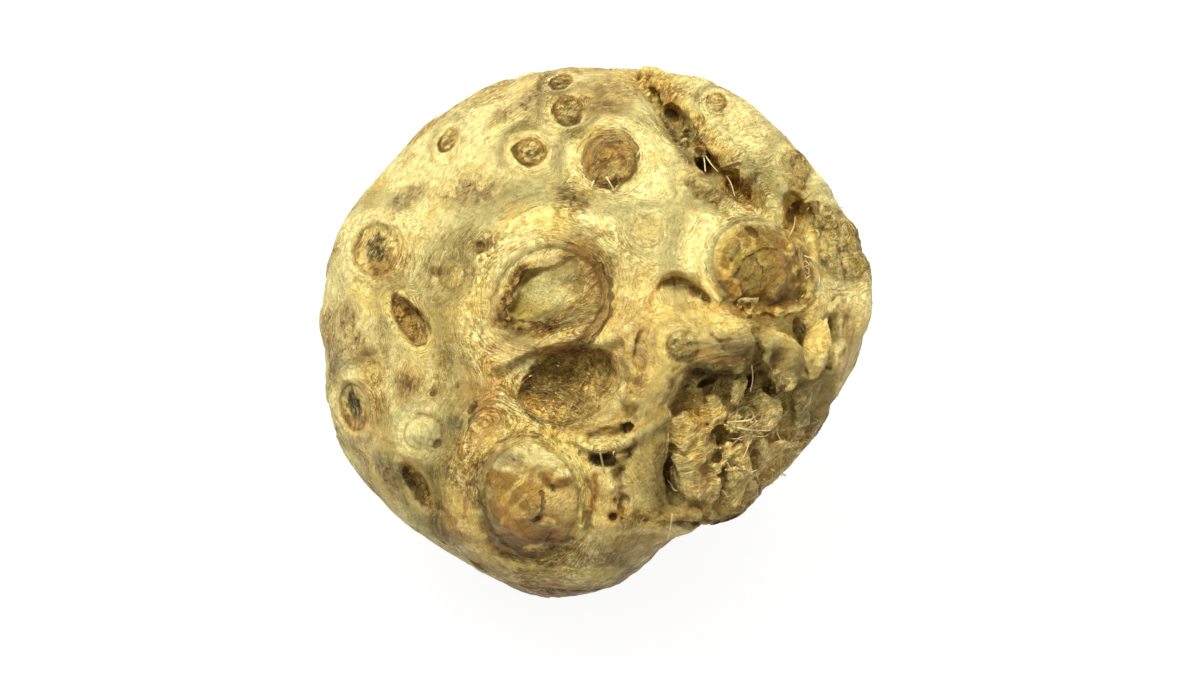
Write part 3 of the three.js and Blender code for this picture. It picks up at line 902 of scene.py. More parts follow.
def boss_relief(s):
    overhang = ease(-0.2, 0.8, s.right - 0.2 * s.up)
    groove = -1.3 * s.ring(1.02, 0.08) * overhang
    rings = 0.16 * np.sin(26 * s.r + 1.5 * s.grit(5.0)) * ease(0.7, 0.85, s.r) * ease(1.4, 1.1, s.r)
    return groove + rings + 0.6 * s.ring(0.84, 0.15) - 0.3 * s.inside(0.75)


def boss_paint(s):
    rings = ease(0.35, 0.95, np.sin(30 * s.r + 2.5 * s.grit(5.0)))
    s.lay("beige", 0.3 * s.inside(1.05, 0.15))
    # tan towards the lower right inside the rim: painted shade
    s.lay("tan", 0.55 * s.inside(1.0, 0.1) * ease(0.55, 0.9, s.r) * ease(-0.4, 0.5, s.right - 0.5 * s.up))
    round_rim = 0.55 * rings * ease(0.6, 0.8, s.r) * ease(1.35, 1.05, s.r)
    s.lay("rust", round_rim * ease(-0.5, 0.4, s.grit(4.0, 3)))
    # umber on the right side inside the rim: painted shadow under the overhanging right edge
    s.lay("umber", 0.55 * ease(0.62, 0.95, s.r) * s.inside(1.0, 0.05) * ease(0.1, 0.7, s.right))
    s.lay("straw", 0.7 * s.ring(1.12, 0.07) * ease(-0.2, 0.5, s.right))
    smudge = ease(0.75, 0.25, np.hypot(s.right - 0.62, s.up - 0.62) + 0.3 * s.crumbs(2.5))
    s.lay("umber", 0.75 * smudge)
    # the dark ring on the right: painted shadow in the groove there
    s.lay("dark", 0.9 * s.ring(1.02, 0.035) * ease(-0.5, 0.3, s.right - 0.3 * s.up))
    s.lay("rust", 0.6 * s.line(0.92, 0.03) * ease(-0.3, 0.3, s.right))


def cut_edge(s):
    corners = 0.10 * np.cos(5 * np.arctan2(s.y, s.x) + 0.9)
    return s.r * (1 + corners) + 0.16 * s.crumbs(2.8)


def cut_folds(s):
    return np.sin(6 * s.y + 3 * s.x + 3 * s.grit(5.0))


def cut_relief(s):
    ragged = cut_edge(s)
    low_left = ease(0.9, -0.5, s.right + 0.6 * s.up)
    floor = ease(1.0, 0.86, ragged) * (-1.4 - 1.6 * low_left + 1.2 * (1 - np.minimum(s.r, 1) ** 2))
    folds = s.inside(0.85) * (0.4 * cut_folds(s) + 0.3 * s.crumbs(3.0))
    bark = s.ring(1.18, 0.17) * (0.3 + 0.7 * low_left) * (0.6 + 1.6 * s.crumbs(1.6) - 0.8 * s.cracks(2.0))
    return floor + folds + bark


def cut_paint(s):
    ragged = cut_edge(s)
    low_left = ease(0.7, -0.6, s.right + 0.6 * s.up)
    bark = ease(1.45, 1.25, ragged) * (0.25 + 0.75 * low_left)
    s.lay("tan", 0.85 * bark)
    s.lay("umber", 0.85 * bark * ease(-0.3, 0.15, s.crumbs(1.8)))
    s.lay("straw", 0.8 * bark * ease(0.05, 0.35, s.crumbs(1.5, 9)))
    s.lay("rust", 0.6 * bark * ease(0.1, 0.4, s.crumbs(1.3, 13)))
    s.lay("dark", 0.75 * bark * s.cracks(2.0))
    flesh = ease(1.0, 0.93, ragged)
    fold = cut_folds(s)
    s.lay("flesh", 0.95 * flesh)
    s.lay("flesh_pale", 0.9 * flesh * ease(-0.3, 0.7, 0.6 * fold + 1.0 - 1.2 * s.r))
    # flesh_green low on the left is the rim's painted shadow on the flesh
    s.lay("flesh_green", 0.7 * flesh * ease(0.2, 0.9, 0.4 * fold + s.r) * low_left)
    s.lay("beige", 0.7 * flesh * ease(0.1, 0.7, s.right * 0.7 + s.up * 0.5 + 0.4 * s.crumbs(2.5, 10)))
    s.lay("ash", 0.8 * flesh * ease(0.1, 0.5, s.right * 0.5 + s.up - 0.1 + 0.5 * s.crumbs(2.0)))
    # the dark edge is the cut's own, made darker low on the left by painted shade from the rim
    s.lay("dark", 0.9 * bell(ragged, 1.0, 0.05) * (0.35 + 0.65 * low_left))
    s.crumble(0.7 * bark * (1 - flesh))
    s.polish(0.8 * flesh)


def facets(s, size, layer=3):
    """Flat faces with ridges between them, from -1 to 1."""
    folds = s.grit(size, layer) + 0.5 * s.grit(0.55 * size, layer + 20)
    return 1 - 2 * np.minimum(1, 2.0 * np.abs(folds))


def peeled(s):
    """1 where the skin has peeled: almost to the rim, but it leaves a pale ridge on the right."""
    edge = 0.97 - 0.13 * ease(-0.2, 0.6, s.right)
    return ease(0.03, -0.03, s.r - edge)


def peeling_boss_relief(s):
    groove = -1.2 * s.ring(1.0, 0.07) - 0.7 * s.ring(0.85, 0.06) * ease(-0.1, 0.5, s.right)
    rim = 0.5 * s.ring(0.93, 0.04) * ease(0.2, -0.4, s.right)
    dome = 1.6 * (1 - np.minimum(s.r, 1) ** 2)
    return groove + rim + dome + peeled(s) * (0.9 * s.crumbs(4.5) + 0.5 * facets(s, 7.0))


def peeling_boss_paint(s):
    inner = peeled(s)
    top = ease(0.38, 0.75, s.up + 0.3 * s.grit(3.0))
    left = ease(0.25, -0.25, s.right + 0.3 * s.grit(4.0, 18))
    s.lay("straw", 0.6 * s.inside(1.0))
    s.lay("tan", 0.9 * inner)
    s.lay("mocha", inner * (0.5 + 0.45 * left))
    s.lay("tan", 0.5 * inner * ease(0.0, 0.5, s.crumbs(5.0, 17) - 0.3 * s.up))
    s.lay("umber", 0.6 * inner * left * ease(0.05, 0.4, s.crumbs(4.6, 9)))
    s.lay("beige", 0.6 * inner * ease(0.15, 0.40, s.crumbs(3.6, 8)))
    s.lay("cream", 0.85 * inner * top)
    s.lay("umber", 0.5 * inner * top * ease(0.25, 0.5, s.crumbs(1.4)))
    low = ease(-0.45, -0.80, s.up) * s.inside(0.95)
    s.lay("umber", 0.9 * low * ease(-0.2, 0.2, s.crumbs(1.4)))
    s.lay("dark", 0.7 * low * ease(0.1, 0.4, s.crumbs(1.2, 12)))
    s.lay("mauve", 0.8 * s.ring(0.97, 0.06) * ease(0.3, -0.3, s.right))
    s.lay("straw", 0.8 * s.ring(0.88, 0.03) * ease(0.2, -0.3, s.right) * ease(-0.5, 0.1, s.up))
    s.lay("rust", 0.5 * s.line(1.04, 0.04))
    s.lay("dark", 0.5 * s.ring(1.0, 0.03))
    s.lay("straw", 0.5 * s.ring(1.16, 0.09))
    s.polish(0.95 * inner)


def brown_boss_relief(s):
    groove = -1.4 * s.ring(1.0, 0.06) * ease(0.6, -0.2, s.up + 0.5 * s.right)
    dome = s.inside(0.85, 0.15) * (0.8 * facets(s, 6.5) + 0.5 * s.crumbs(2.8))
    return groove + dome - 1.3 * s.cracks(4.2, 10, 0.07) * ease(0.8, 0.4, s.r)


def brown_boss_paint(s):
    inner = ease(1.10, 0.84, s.r + 0.16 * s.up - 0.10 * s.right)
    s.lay("mocha", inner)
    s.lay("olive", 0.6 * inner * ease(-0.4, 0.5, s.grit(6.0, 8) + 0.5 * s.right))
    s.lay("greige", 0.6 * inner * ease(0.0, 0.4, s.crumbs(3.5, 13) - 0.2 * s.right))
    s.lay("olive", 0.7 * inner * ease(0.1, 0.5, s.crumbs(4.5, 9)))
    s.lay("umber", 0.75 * inner * ease(0.1, 0.4, s.crumbs(4.0, 10) + 0.2 * s.right))
    # straw on the facets towards the upper left: painted highlights
    s.lay("straw", 0.6 * inner * ease(0.3, 0.8, facets(s, 6.0)) * ease(-0.4, 0.5, s.up - s.right))
    s.lay("dark", 0.6 * inner * s.cracks(4.2, 10, 0.07) * ease(0.8, 0.4, s.r))
    s.lay("orange", 0.5 * inner * ease(0.2, 0.7, s.grit(2.4, 14)) * ease(0.3, -0.3, s.up))
    # the outline darker towards the lower right: painted shade in the groove
    s.lay("dark", 0.5 * s.line(1.0, 0.05) * ease(0.5, -0.3, s.up + 0.5 * s.right))
    s.crumble(0.25 * inner)
    s.polish(0.85 * inner)


def scoop_edge(s):
    """1 in the scoop; its lower side is soft."""
    soft = 0.08 + 0.35 * ease(0.3, -0.6, s.y)
    return ease(1.0 + 0.4 * soft, 1.0 - soft, s.r + 0.08 * s.crumbs(2.5, 16))


def scoop_relief(s):
    hollow = -3.6 * ease(1.0, 0.80, s.r) * ease(-1.1, 0.6, s.y)
    return hollow + scoop_edge(s) * (0.7 * s.crumbs(3.4) + 0.4 * s.crumbs(1.2, 8))


def scoop_paint(s):
    floor = scoop_edge(s)
    s.lay("fibre", 0.9 * floor)
    s.lay("olive", 0.75 * floor * ease(-0.15, 0.3, s.crumbs(3.0)))
    s.lay("fibre_pale", 0.6 * floor * ease(0.0, 0.3, s.crumbs(2.0, 8)) * ease(0.95, 0.3, s.r))
    s.lay("mocha", 0.6 * floor * ease(0.0, 0.4, s.crumbs(2.6, 11)))
    s.lay("ash", 0.6 * floor * ease(0.1, 0.4, s.crumbs(1.6, 14)))
    # umber and dark near the upper rim: painted shade under it
    s.lay("umber", 0.6 * floor * ease(0.45, 0.95, s.r) * ease(-0.1, 0.6, s.y))
    s.lay("dark", 0.45 * floor * ease(0.60, 0.98, s.r) * ease(0.1, 0.7, s.y + 0.3 * s.crumbs(2.0, 15)))
    s.crumble(0.8 * floor)


def crust_relief(s):
    return s.inside(0.85, 0.2) * (0.5 + 0.9 * s.crumbs(1.9))


def crust_paint(s):
    patch = ease(1.2, 0.7, s.r + 0.35 * s.crumbs(2.8))
    s.lay("greige", 0.8 * patch)
    s.lay("ash", 0.7 * patch * ease(-0.1, 0.3, s.crumbs(2.6, 7)))
    s.lay("lichen", 0.9 * patch * ease(-0.1, 0.2, s.crumbs(1.5, 11)))
    s.lay("soot", 0.65 * patch * ease(0.15, 0.35, s.crumbs(1.8, 8)))
    s.lay("cream", 0.7 * patch * ease(0.20, 0.35, s.crumbs(1.2, 16)))
    s.lay("dark", 0.35 * patch * s.cracks(2.2, 14))
    s.crumble(0.6 * patch)


def crusty_eye_relief(s):
    return s.inside(0.85, 0.15) * (0.3 + 0.6 * s.crumbs(1.3)) - 0.6 * s.line(1.0, 0.12)


KINDS = {
    # relief, paint, how strongly the grain bends round it
    "eye": (eye_relief, eye_paint, 1.0),
    "old_eye": (old_eye_relief, old_eye_paint, 1.0),
    "button": (button_relief, button_paint, 1.0),
    "pit": (pit_relief, pit_paint, 0.8),
    "hole": (hole_relief, hole_paint, 0.2),
    "gap": (gap_relief, gap_painted_shade, 0),
    "recess": (recess_relief, recess_paint, 0.4),
    "dimple": (dimple_relief, dimple_paint, 0.3),
    "dot": (dot_relief, dot_paint, 0.1),
    "faint": (faint_relief, faint_paint, 0),
    "smear": (smear_relief, smear_paint, 0),
    "ring": (ring_relief, ring_paint, 0.3),
    "pearl": (pearl_relief, pearl_paint, 0.2),
    "boss": (boss_relief, boss_paint, 1.8),
    "cut": (cut_relief, cut_paint, 0),
    "peeling_boss": (peeling_boss_relief, peeling_boss_paint, 1.8),
    "brown_boss": (brown_boss_relief, brown_boss_paint, 1.0),
    "scoop": (scoop_relief, scoop_paint, 0.8),
    "crust": (crust_relief, crust_paint, 0.3),
    "crusty_eye": (crusty_eye_relief, crust_paint, 0.7),
}

# The marks of the sides that the face doesn't show: kind, half length, half width, how many in twenty.
SCATTERED_KINDS = [
    ("eye", 3.6, 2.8, 6),
    ("faint", 5.5, 2.6, 5),
    ("old_eye", 4.8, 3.6, 2),
    ("pit", 4.6, 2.2, 2),
    ("ring", 3.0, 2.8, 1),
    ("crusty_eye", 3.4, 2.8, 2),
    ("pearl", 3.6, 3.3, 1),
    ("button", 4.6, 4.4, 1),
]
SCATTERED_COUNT = 64
SCATTERED_ALONG = (-0.86, 0.60)  # their range along the root's axis, clear of the crown and the tangle
SCATTERED_FRONT = 0.1  # the most that a scattered mark's direction may point out of the face
SCATTERED_APART = math.radians(12.5)


def scattered_marks():
    """Marks all over the back and underside, apart from the crown and the tangle."""
    rng = np.random.default_rng(5)
    choices = [kind for kind in SCATTERED_KINDS for _ in range(kind[3])]
    directions, found = [], []
    while len(found) < SCATTERED_COUNT:
        direction = unit(rng.normal(size=3))
        kind, half_length, half_width, _ = choices[rng.integers(len(choices))]
        size, turn = rng.uniform(0.8, 1.5), rng.uniform(-30, 30)
        on_crown_or_tangle = not SCATTERED_ALONG[0] < direction @ ROOT_AXIS < SCATTERED_ALONG[1]
        if on_crown_or_tangle or direction[2] > SCATTERED_FRONT:
            continue
        if directions and (np.array(directions) @ direction).max() > math.cos(SCATTERED_APART):
            continue
        directions.append(direction)
        found.append((kind, tuple(direction), half_length * size, half_width * size, turn))
    return found


# Cracks, creases and clefts: a path on the face, half width, depth.
CREASES = [
    ([(-30, -8), (-31, -11.5), (-34, -14)], 0.30, 0.8),
    ([(-33.5, -6), (-31.5, -7.5)], 0.30, 0.5),
    ([(-12.8, -36.4), (-12.2, -39), (-13, -41.8), (-14.6, -43)], 0.5, 1.6),
    ([(-12.4, -33), (-10.2, -36), (-7, -34)], 0.9, 1.2),
    ([(-16.2, -18.4), (-14, -20.2), (-11, -22.6)], 0.5, 1.4),
    ([(-28.5, -17), (-29, -22), (-28, -24)], 0.40, 0.9),
    ([(-25, -5), (-21, -2.2), (-14, -4.4), (-6, -3.0), (3, 1.0), (8, 3)], 0.6, 1.2),
    ([(-19, -14), (-14, -20), (-8, -25.5), (-3, -28)], 0.6, 1.8),
    ([(13.0, 10), (11.2, 5), (10.0, -1), (9.2, -8)], 0.9, 2.4),
    ([(11.9, 4), (12.8, 8.4), (16.0, 11.0), (20.4, 11.2), (24.2, 8.6), (25.8, 6.0)], 1.0, 2.8),
    ([(24.4, 8.0), (29, 6.4), (33, 6.2), (38, 7.0), (42, 5.8), (45, 3.6)], 1.0, 3.2),
    ([(45.6, 4), (47.6, -3), (47.4, -9), (45, -13.4)], 0.8, 2.6),
    ([(53.6, 7), (54.4, 0), (53.2, -9)], 1.0, 3.0),
    ([(57.4, 5), (58.2, -2), (55.6, -9)], 0.7, 1.6),
    ([(49.2, 1.6), (50.4, -4), (49.4, -9)], 0.5, 1.2),
    ([(-21, -53.6), (-13, -56), (-5, -55)], 0.6, 1.2),
    ([(-13, -59.4), (-6, -60)], 0.6, 1.2),
    ([(1, -46.6), (7, -48.4), (14, -47.4)], 0.5, 1.2),
    ([(37.0, 1.5), (37.2, -4), (38.4, -10)], 1.0, 2.6),
    ([(21, -8.6), (26, -9.8), (30.6, -10.2), (35, -9.0), (37.6, -6)], 0.9, 2.4),
    ([(38.6, -11), (41.6, -13.2), (45, -13.0)], 0.8, 2.4),
    ([(26.6, -0.4), (28.4, -2.0), (30.6, -1.4)], 0.35, 1.0),
    ([(28.4, -2.0), (29.2, -3.8)], 0.3, 0.8),
    ([(-3, -23.6), (4, -23.4), (9, -20.8)], 0.8, 2.2),
    ([(0, -28.2), (6, -27.4), (9.4, -25.6)], 0.8, 2.4),
    ([(47, 30), (50.5, 20), (50.5, 12)], 1.2, 2.6),
    ([(10, 59), (13, 55.4), (17, 50.5), (21, 45.6)], 0.9, 2.2),
    ([(21.5, 45), (24.3, 40), (28, 36.4), (32, 34)], 1.0, 2.6),
    ([(33, 31.5), (38, 27), (43, 24), (48, 22)], 0.8, 1.4),
    ([(1.8, 17), (3.4, 9), (2.4, 2)], 0.6, 1.2),
    ([(5.4, -30.0), (5.2, -37), (6.0, -43)], 0.9, 3.0),
    ([(17.2, -23), (16.4, -30), (17.0, -37), (19, -40)], 0.8, 2.8),
    ([(22, -9.5), (19, -15), (17.4, -21), (17, -26)], 0.9, 1.8),
    ([(-2.6, -29), (-2.4, -37), (-2.6, -46)], 0.6, 1.8),
    ([(-26.5, -27), (-28, -37), (-25, -47)], 0.5, 1.0),
    ([(28, -20), (27.8, -27), (25.6, -30), (27, -40)], 0.9, 2.2),
    ([(31, -22), (36, -23), (44, -23.5)], 0.8, 1.8),
    ([(36, -26), (36, -32), (38, -36)], 0.8, 2.0),
    ([(8, -43.2), (15, -44.2), (20, -43.6), (27, -44.6), (33, -43)], 0.9, 2.6),
    ([(44, -13), (44.6, -18), (44, -24)], 0.9, 2.0),
]


# Ragged, crumbly strips: a path on the face, half width.
RAGGED_STRIPS = [
    ([(9, 59), (14, 57), (19.5, 52.5), (24.5, 46.5), (29, 40.5), (33, 35)], 2.2),
    ([(46, 34), (46.5, 27), (45, 21), (46.5, 14), (49, 7)], 2.4),
    ([(26, 6), (33, 5), (41, 5), (46, 3)], 1.0),
    ([(-3, -22.5), (3, -22.5), (8, -17), (9.5, -9)], 1.5),
    ([(8, -42.5), (20, -42.5), (33, -40.5)], 2.0),
    ([(22, -17), (28, -22), (30, -28)], 2.4),
    ([(-24, -9), (-19, -13), (-12, -19), (-5, -22)], 1.2),
]


def along_path(points, seen, path, half_width):
    """(indices, shares) of the points on a strip of the face; shares go from 1 to 0 with a ragged edge."""
    low, high = np.min(path, axis=0) - 2.5 * half_width, np.max(path, axis=0) + 2.5 * half_width
    near = np.nonzero(((seen > low) & (seen < high)).all(1) & (points[:, 2] > 0))[0]
    distance, _ = near_chain(seen[near], path)
    near, distance = near[distance < 2.3 * half_width], distance[distance < 2.3 * half_width]
    wobble = 0.5 * noise(points[near], 1.6 * half_width, 86) + 0.3 * noise(points[near], 0.8, 87)
    return near, ease(1.3 * half_width, 0.4 * half_width, distance + half_width * wobble)


def ragged_share(points):
    """1 on the ragged strips, 0 away from them."""
    seen = as_seen(points)
    share = np.zeros(len(points))
    for path, half_width in RAGGED_STRIPS:
        near, there = along_path(points, seen, path, half_width)
        share[near] = np.maximum(share[near], there)
    return share


def chain_on_surface(tree, path, spacing=1.5):
    """A path on the face, or of directions from the middle, laid on the surface."""
    path = np.array(path, float)
    places = []
    for a, b in zip(path, path[1:]):
        shares = np.arange(0, 1, spacing / np.linalg.norm(b - a))
        places += [a + (b - a) * share for share in shares]
    return np.array([on_surface(tree, tuple(place)) for place in places + [path[-1]]])


def crease_depth(points, creases):
    """How deep the creases cut in, in millimetres."""
    wide = [noise(points, 3.5, 40 + k) for k in range(3)]
    fine = [noise(points, 1.2, 44 + k) for k in range(3)]
    wobble = 0.7 * np.stack(wide, 1) + 0.25 * np.stack(fine, 1)
    depths = np.zeros(len(points))
    for chain, half_width, depth in creases:
        low, high = chain.min(0) - 5, chain.max(0) + 5
        near = np.nonzero(((points > low) & (points < high)).all(1))[0]
        distance, share = near_chain(points[near] + wobble[near], chain)
        fade = ease(0.0, 0.12, share) * ease(1.0, 0.88, share)
        width = half_width * (1 + 0.5 * noise(points[near], 3.0, 48))
        depths[near] = np.maximum(depths[near], depth * fade * np.exp(-(distance / width) ** 2))
    return depths


def sculpt_marks(points, normals, marks):
    """Moves the points by every mark's relief, along the mark's own normal."""
    moved = points.copy()
    for mark in marks:
        spot = Spot(mark, points)
        if len(spot.near) == 0:
            continue
        facing = ease(0.0, 0.35, normals[spot.near] @ mark.normal)
        moved[spot.near] += (KINDS[mark.kind][0](spot) * facing)[:, None] * mark.normal
    return moved


def flow_at(points, marks):
    """Lines of equal flow are the skin's grain: rings round the root's axis that part round each mark."""
    total = points @ ROOT_AXIS + 1.1 * noise(points, 16.0, 91) + 0.45 * noise(points, 4.0, 92)
    total += 0.10 * noise(points, 1.4, 95)
    weight = np.ones(len(points))
    for mark in marks:
        pull = KINDS[mark.kind][2]
        if not pull:
            continue
        near, _, _, r = mark.polar(points, 3.4)
        rings = mark.centre @ ROOT_AXIS + mark.radius * r
        w = 9 * pull * np.exp(-(np.maximum(r - 1, 0) / 0.5) ** 2) * ease(0.86, 1.0, r)
        total[near] += w * rings
        weight[near] += w
    fanned = points @ FIBRES_ACROSS + 2.0 * noise(points, 5.0, 93) + 4.0 * noise(points, 12.0, 94)
    return total / weight + (fanned - points @ ROOT_AXIS) * tangle_share(points)


# ---------------------------------------------------------------- the crown, where the leaves were cut off

CROWN = unit(np.array((-36.0, 20.0, -42.0)))
CROWN_RADIUS = 21.0
STUMP_COUNT = 17


def crown_coordinates(points):
    """The distance from the crown's axis, and the turn round it."""
    first = unit(np.cross(CROWN, (0, 1, 0)))
    second = np.cross(CROWN, first)
    away = points - np.outer(points @ CROWN, CROWN)
    return np.linalg.norm(away, axis=1), np.arctan2(away @ second, away @ first)


def crown_relief(points):
    """Rings of cut leaf bases round a hollow middle."""
    distance, turn = crown_coordinates(points)
    front = points @ CROWN > 0
    spiral = distance / 2.6 + turn / (2 * math.pi) + 0.25 * noise(points, 5.0, 71)
    ribs = np.sin(2 * math.pi * spiral)
    stumps = np.sin(turn * STUMP_COUNT / 2 + 1.5 * np.floor(spiral)) * ribs
    share = ease(CROWN_RADIUS, CROWN_RADIUS - 6, distance) * front
    middle = ease(9, 3, distance) * front
    return share * (0.9 * ribs + 0.8 * stumps + 0.6 * rough(points, 2.4, 72)) - 2.0 * middle


# ---------------------------------------------------------------- building the skin

class Skin:
    """The sculpted skin and everything that the paint needs to know about it."""

    def __init__(self):
        body, body_faces, body_smoother = coarse_body()
        body_tree = surface_tree(body, body_faces)
        sunk = body - sinking(body, body_tree)[:, None] * normals_of(body, body_faces)
        sunk_tree = surface_tree(sunk, body_faces)
        grown = [tube(from_view(chain), sides=12) for chain in THICK_ROOTS.values()]
        grown += [tube(laid_strand(body_tree, rows)) for rows in STRANDS.values()]
        grown += [tube(chain) for chain in tangle_roots(sunk_tree)]
        grown += [tube(chain, step=0.5) for chain in nodules(body_tree)]
        points, faces = voxel_remesh(*joined([(sunk, body_faces)] + grown), FORM_VOXEL)
        points = Smoother(faces, len(points)).run(points, 2)
        plain = body_smoother.run(body, 10)
        self.plain_tree = surface_tree(plain, body_faces)
        self.tree = surface_tree(points, faces)
        normals = normals_of(points, faces)

        plan = MARKS + scattered_marks()
        self.marks = [
            Mark(self.tree, points, normals, *row, seed=FIRST_MARK_SEED + MARK_SEED_STEP * i)
            for i, row in enumerate(plan)
        ]
        self.creases = [(chain_on_surface(self.tree, path), width, depth) for path, width, depth in CREASES]

        points = self.add_forms(points, faces, normals)
        points, faces = skin_remesh(points, faces)
        smoother = Smoother(faces, len(points))
        points = smoother.run(points, 1)
        self.flow = flow_at(points, self.marks)
        self.tangle = tangle_share(points)
        self.faces = faces
        points = self.within_solid(self.add_grain(points, normals_of(points, faces)))
        self.points = keep_above_floor(points)
        self.normals = normals_of(self.points, faces)
        self.measure_hollows(smoother)

    def add_forms(self, points, faces, normals):
        """Lumps, marks and creases."""
        tangle = tangle_share(points)
        lumps = 0.8 * noise(points, 14.0, 1) + 0.5 * noise(points, 7.0, 2) - 0.7 * wear(points, self.marks)
        knobs = np.abs(noise(points, 6.0, 3)) * 0.9 + np.abs(noise(points, 2.6, 4)) * 0.6 - 0.5
        points = points + (lumps * (1 - tangle) + knobs * tangle + crown_relief(points))[:, None] * normals
        points = sculpt_marks(points, normals, self.marks)
        points = points + (ragged_share(points) * (0.9 * rough(points, 2.2, 85) + 0.1))[:, None] * normals
        depths = crease_depth(points, self.creases)
        return points - depths[:, None] * normals_of(points, faces)

    def add_grain(self, points, normals):
        """Fine wrinkles along the grain, and crumbs in the tangle."""
        wide = along_grain(points, self.flow, 9.0, 2.2, 21)
        fine = along_grain(points, self.flow, 5.0, 0.9, 22)
        wrinkles = 0.34 * wide + 0.18 * fine
        wrinkles = wrinkles + 0.22 * noise(points, 3.2, 24) + 0.12 * rough(points, 1.2, 25, 2)
        crumbs = 0.28 * rough(points, 1.5, 23, 2) + 0.25 * fine
        height = wrinkles * (1 - self.tangle) + crumbs * self.tangle
        return points + height[:, None] * normals

    def within_solid(self, points):
        """Draws in what stands out of the CAD solid, most of all where it would show in the outline."""
        moved = points.copy()
        for i, point in enumerate(points):
            place, normal, _, _ = self.plain_tree.find_nearest(Vector(point))
            out = (Vector(point) - place).dot(normal)
            allowed = OUTLINE_GROWTH + FACE_GROWTH * max(0.0, normal.z - 0.25)
            if out > allowed:
                moved[i] -= (1 - GROWTH_KEPT) * (out - allowed) * np.array(normal)
        return moved

    def measure_hollows(self, smoother):
        """How far each point lies below its surroundings, at two sizes, in millimetres."""
        small = smoother.run(self.points, 6, 0.8)
        middle = smoother.run(small, 40, 0.8)
        self.hollow_small = np.einsum("ij,ij->i", small - self.points, self.normals)
        self.hollow_middle = np.einsum("ij,ij->i", middle - self.points, self.normals)


# ---------------------------------------------------------------- paint

def linear(red, green, blue):
    """A colour given in eight-bit sRGB levels, as linear light."""
    levels = np.array((red, green, blue)) / 255
    return np.where(levels <= 0.04045, levels / 12.92, ((levels + 0.055) / 1.055) ** 2.4)


COLOURS = {
    "cream": linear(253, 238, 159),
    "straw": linear(240, 210, 114),
    "beige": linear(226, 198, 120),
    "greige": linear(202, 172, 98),
    "mauve": linear(156, 130, 86),
    "tan": linear(198, 156, 78),
    "mocha": linear(160, 122, 52),
    "umber": linear(118, 83, 26),
    "orange": linear(214, 154, 58),
    "rust": linear(164, 102, 34),
    "olive": linear(140, 120, 54),
    "ash": linear(142, 126, 70),
    "soot": linear(70, 60, 32),
    "lichen": linear(200, 182, 108),
    "flesh": linear(204, 180, 94),
    "flesh_pale": linear(238, 224, 150),
    "flesh_green": linear(150, 130, 60),
    "fibre": linear(232, 196, 114),
    "fibre_pale": linear(250, 228, 148),
    "fibre_dark": linear(134, 102, 44),
}

